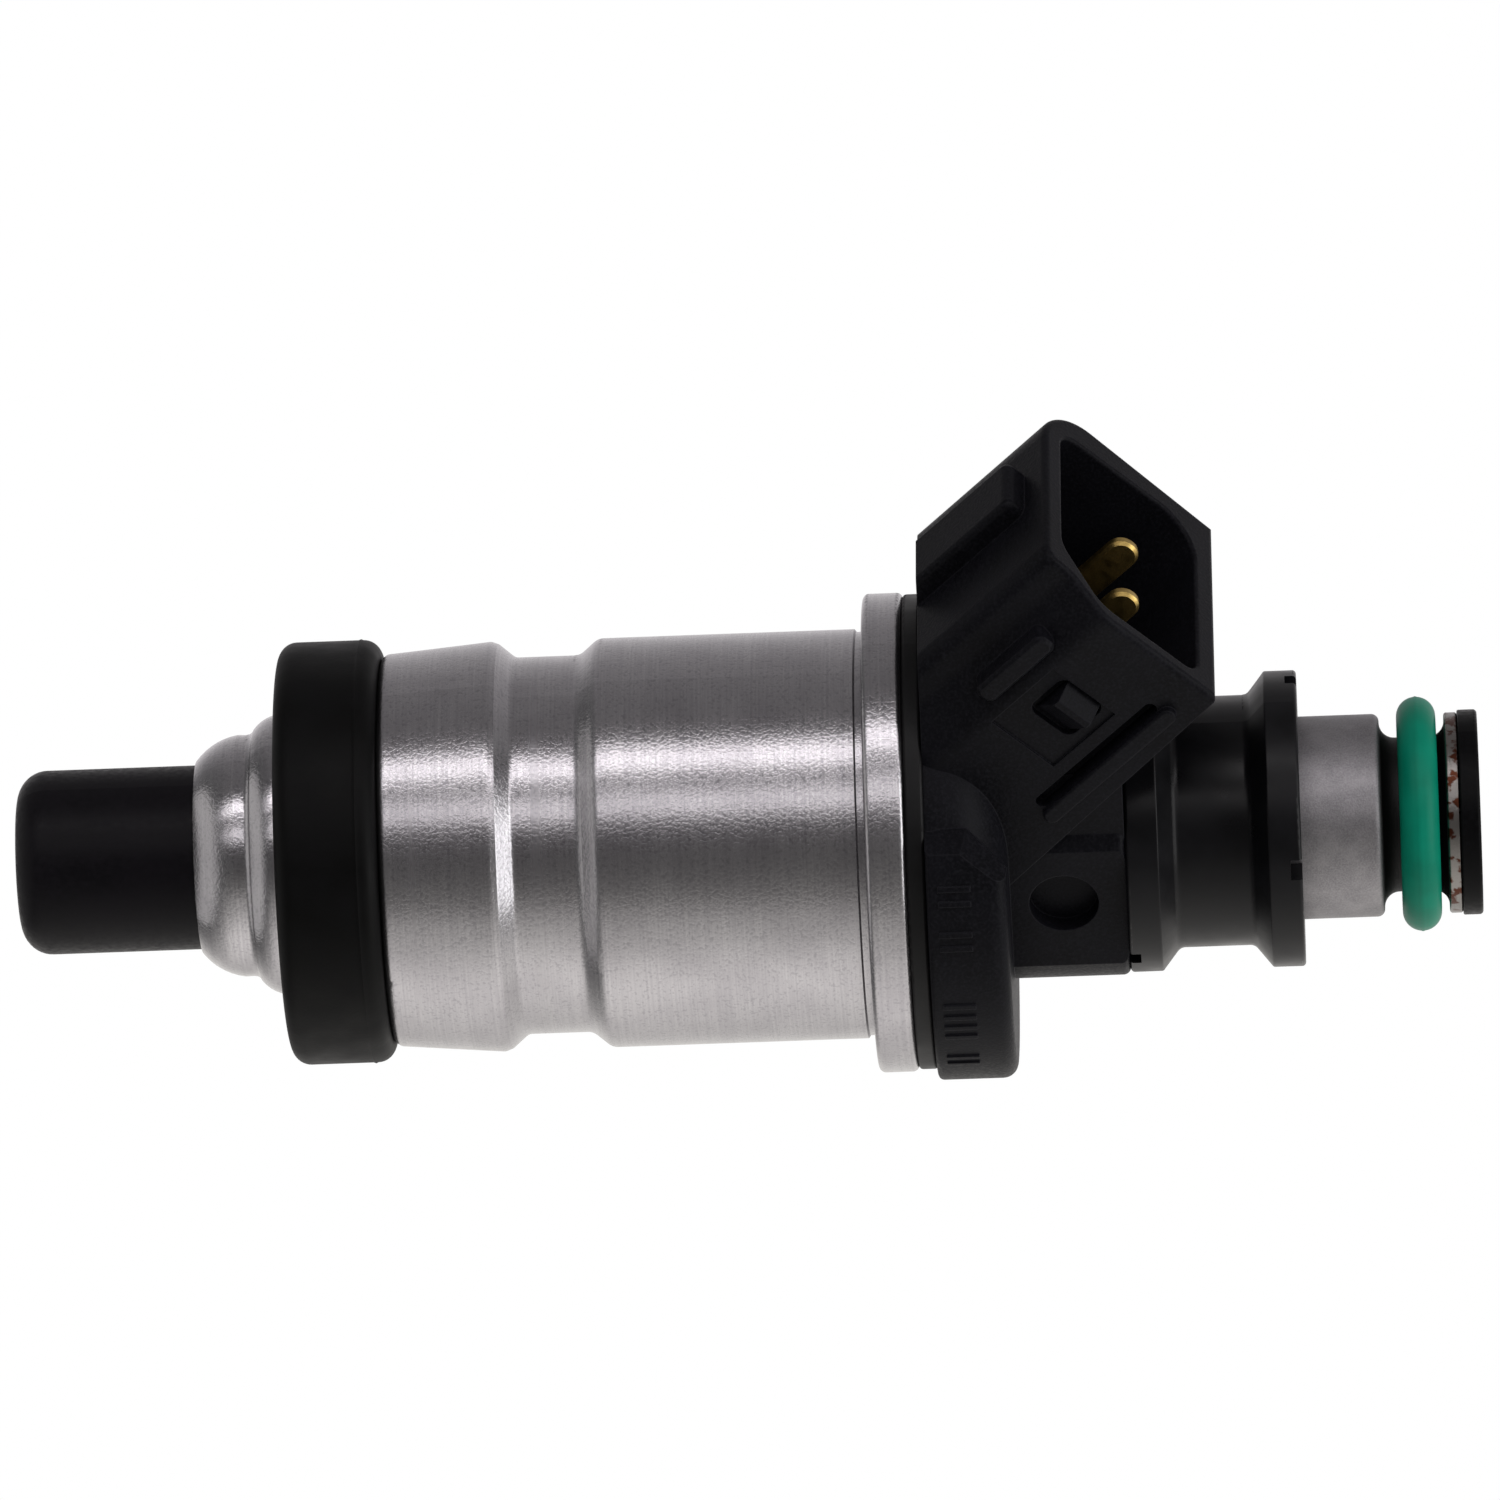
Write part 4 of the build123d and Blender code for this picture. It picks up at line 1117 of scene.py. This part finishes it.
@dataclass(frozen=True)
class Studio:
    """Camera, lights, floor and backdrop."""

    view_azimuth_deg: float = 51.8
    view_elevation_deg: float = 2.2
    roll_deg: float = 2.06
    distance: float = 0.830
    lens_mm: float = 378.5
    sensor_mm: float = 36.0
    near_clip: float = 0.05
    far_clip: float = 10.0
    aim_height: float = 0.02174
    aim_rise: float = 0.00461
    boxes: tuple[Softbox, ...] = (
        Softbox("box_right", Side.INLET, 68, 1.6),
        Softbox("box_left", Side.NOZZLE, 80, 0.22),
    )
    # Light round the axis: (degrees up from the lens axis, radiance). Below the axis is the
    # table's glow, then two bright bands stand above it with dark gaps between them
    tent_levels: tuple[tuple[float, float], ...] = (
        (-180, 0.95),
        (-140, 0.95),
        (-92, 1.55),
        (-74, 1.32),
        (-58, 0.9),
        (-45, 0.72),
        (-32, 0.32),
        (-18, 0.2),
        (-5, 0.15),
        (8, 0.2),
        (14, 0.55),
        (19, 2.5),
        (25, 2.1),
        (30, 0.4),
        (39, 0.28),
        (44, 3.9),
        (51, 3.9),
        (56, 0.4),
        (64, 0.22),
        (95, 0.3),
        (116, 0.39),
        (144, 0.6),
        (180, 0.95),
    )
    brightest: float = 4.0
    # Light past each end of the injector: (radiance, where it starts and where it is full, as
    # the sine of the height above the nozzle's side)
    tent_ends: tuple[tuple[float, float, float], ...] = ((0.16, -0.35, -0.75), (0.45, 0.75, 0.95))
    table_tint: str = "#fffcf8"
    tent_tint: str = "#fffbfd"
    floor_radius: float = 0.12
    floor_height: float = -0.15
    floor_grain_mm: float = 30.0

    def axes(self) -> tuple[Vector, Vector, Vector]:
        """Work out how the camera stands.

        Returns:
            The camera's right, up and backward directions in the injector's frame.
        """
        azimuth = math.radians(self.view_azimuth_deg)
        elevation = math.radians(self.view_elevation_deg)
        out = Vector((math.cos(azimuth), math.sin(azimuth), 0.0)) * math.cos(elevation)
        back = out + Vector((0.0, 0.0, math.sin(elevation)))
        level = Vector((math.sin(azimuth), -math.cos(azimuth), 0.0))
        along = level.cross(back)
        roll = math.radians(self.roll_deg)
        right = along * math.cos(roll) - level * math.sin(roll)
        up = level * math.cos(roll) + along * math.sin(roll)
        return right, up, back

    def camera(self) -> None:
        """Place the camera: inlet to the right, socket up."""
        right, up, back = self.axes()
        aim = Vector((0, 0, self.aim_height)) + up * self.aim_rise
        data = bpy.data.cameras.new("camera")
        data.lens = self.lens_mm
        data.sensor_width = self.sensor_mm
        data.clip_start = self.near_clip
        data.clip_end = self.far_clip
        camera = bpy.data.objects.new("camera", data)
        turn = Matrix((right, up, back)).transposed().to_4x4()
        camera.matrix_world = Matrix.Translation(aim + back * self.distance) @ turn
        bpy.context.scene.collection.objects.link(camera)
        bpy.context.scene.camera = camera

    def lights(self) -> None:
        """Add the soft boxes."""
        right, up, back = self.axes()
        centre = Vector((0, 0, self.aim_height))
        for box in self.boxes:
            angle = math.radians(box.angle_deg)
            facing = back * math.cos(angle) + right * box.side.value * math.sin(angle)
            data = bpy.data.lights.new(box.name, "AREA")
            data.shape = "RECTANGLE"
            data.size, data.size_y = box.size
            data.energy = box.watts
            light = bpy.data.objects.new(box.name, data)
            turn = Matrix((up, facing.cross(up), facing)).transposed().to_4x4()
            light.matrix_world = Matrix.Translation(centre + facing * box.distance) @ turn
            light.visible_camera = False
            bpy.context.scene.collection.objects.link(light)

    def world(self) -> None:
        """A light tent: white behind, and round the injector the bands of light it stands in."""
        world = bpy.data.worlds.new("light_tent")
        world.use_nodes = True
        tree = world.node_tree
        tree.nodes.clear()
        # Angle round the injector's axis: 0 at the camera's azimuth, a quarter turn is up
        way = add_node(tree, Kind.COORDINATES, {}, "Object")
        turn = (0.0, 0.0, -math.radians(self.view_azimuth_deg))
        faced = add_node(tree, Kind.MAPPING, {"Vector": way, "Rotation": turn})
        axes = add_node(tree, Kind.SEPARATE, {"Vector": faced}).node.outputs
        angle = add_node(tree, Kind.MATHS, {0: axes["Y"], 1: axes["X"]}, operation="ARCTAN2")
        full = {"Value": angle, "From Min": math.pi, "From Max": -math.pi}
        share = add_node(tree, Kind.RANGE, full)
        stops = tuple(((at + 180) / 360, level / self.brightest) for at, level in self.tent_levels)
        bands = add_node(tree, Kind.RAMP, {"Fac": share}, stops=stops)
        tints = ((0.42, self.table_tint), (0.52, self.tent_tint))
        tint = add_node(tree, Kind.RAMP, {"Fac": share}, stops=tints)
        both = {0: 1.0, 6: bands, 7: tint}
        tent = add_node(tree, Kind.MIX, both, 2, data_type="RGBA", blend_type="MULTIPLY")
        for level, start, end in self.tent_ends:
            reach = {"Value": axes["Z"], "From Min": start, "From Max": end}
            grey = (*(level / self.brightest,) * 3, 1.0)
            ends = {0: add_node(tree, Kind.RANGE, reach), 6: tent, 7: grey}
            tent = add_node(tree, Kind.MIX, ends, 2, data_type="RGBA")
        room = add_node(tree, Kind.BACKGROUND, {"Color": tent, "Strength": self.brightest})
        white = add_node(tree, Kind.BACKGROUND, {"Color": "#ffffff", "Strength": 1.0})
        seen = add_node(tree, Kind.LIGHT_PATH, {}, "Is Camera Ray")
        lit = add_node(tree, Kind.MIX_SHADER, {0: seen, 1: room, 2: white})
        add_node(tree, Kind.WORLD_OUTPUT, {"Surface": lit})
        bpy.context.scene.world = world

    def floor(self) -> tuple[str, str]:
        """Lay a pale round floor some way below the nozzle.

        Returns:
            The floor's and its material's name.
        """
        bpy.ops.object.select_all(action="DESELECT")
        bpy.ops.mesh.primitive_circle_add(
            vertices=128,
            radius=self.floor_radius,
            fill_type="NGON",
            location=(0, 0, self.floor_height),
        )
        floor = bpy.context.object
        floor.name = "floor"
        # Matte painted board: no highlight, only the faintest unevenness
        material, tree, place = start_material("pale_floor")
        cloud = {"Vector": place, "Scale": per_mm(self.floor_grain_mm), "Detail": 2.0}
        paint = add_node(tree, Kind.NOISE, cloud)
        tint = shaded(tree, paint, (0.3, 0.7), "#e9e9e8", "#efefee")
        floor.data.materials.append(end_material(material, {"Roughness": 0.7, "Base Color": tint}))
        return floor.name, material.name

    def make(self) -> Made:
        """Set the whole studio up.

        Returns:
            The floor's and its material's name.
        """
        self.camera()
        self.lights()
        self.world()
        bpy.context.scene.view_settings.view_transform = "Standard"
        return [self.floor()]


def main() -> None:
    """Load the frame, build and report every sub-assembly and set the studio up."""
    logging.basicConfig(level=logging.INFO, format="%(name)s: %(message)s")
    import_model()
    for part in (Casing(), ValveParts(), Coil(), Connector(), Inlet(), Studio()):
        for piece, finish in part.make():
            LOG.info("%s: %s in %s", type(part).__name__, piece, finish)


if __name__ == "__main__":
    main()
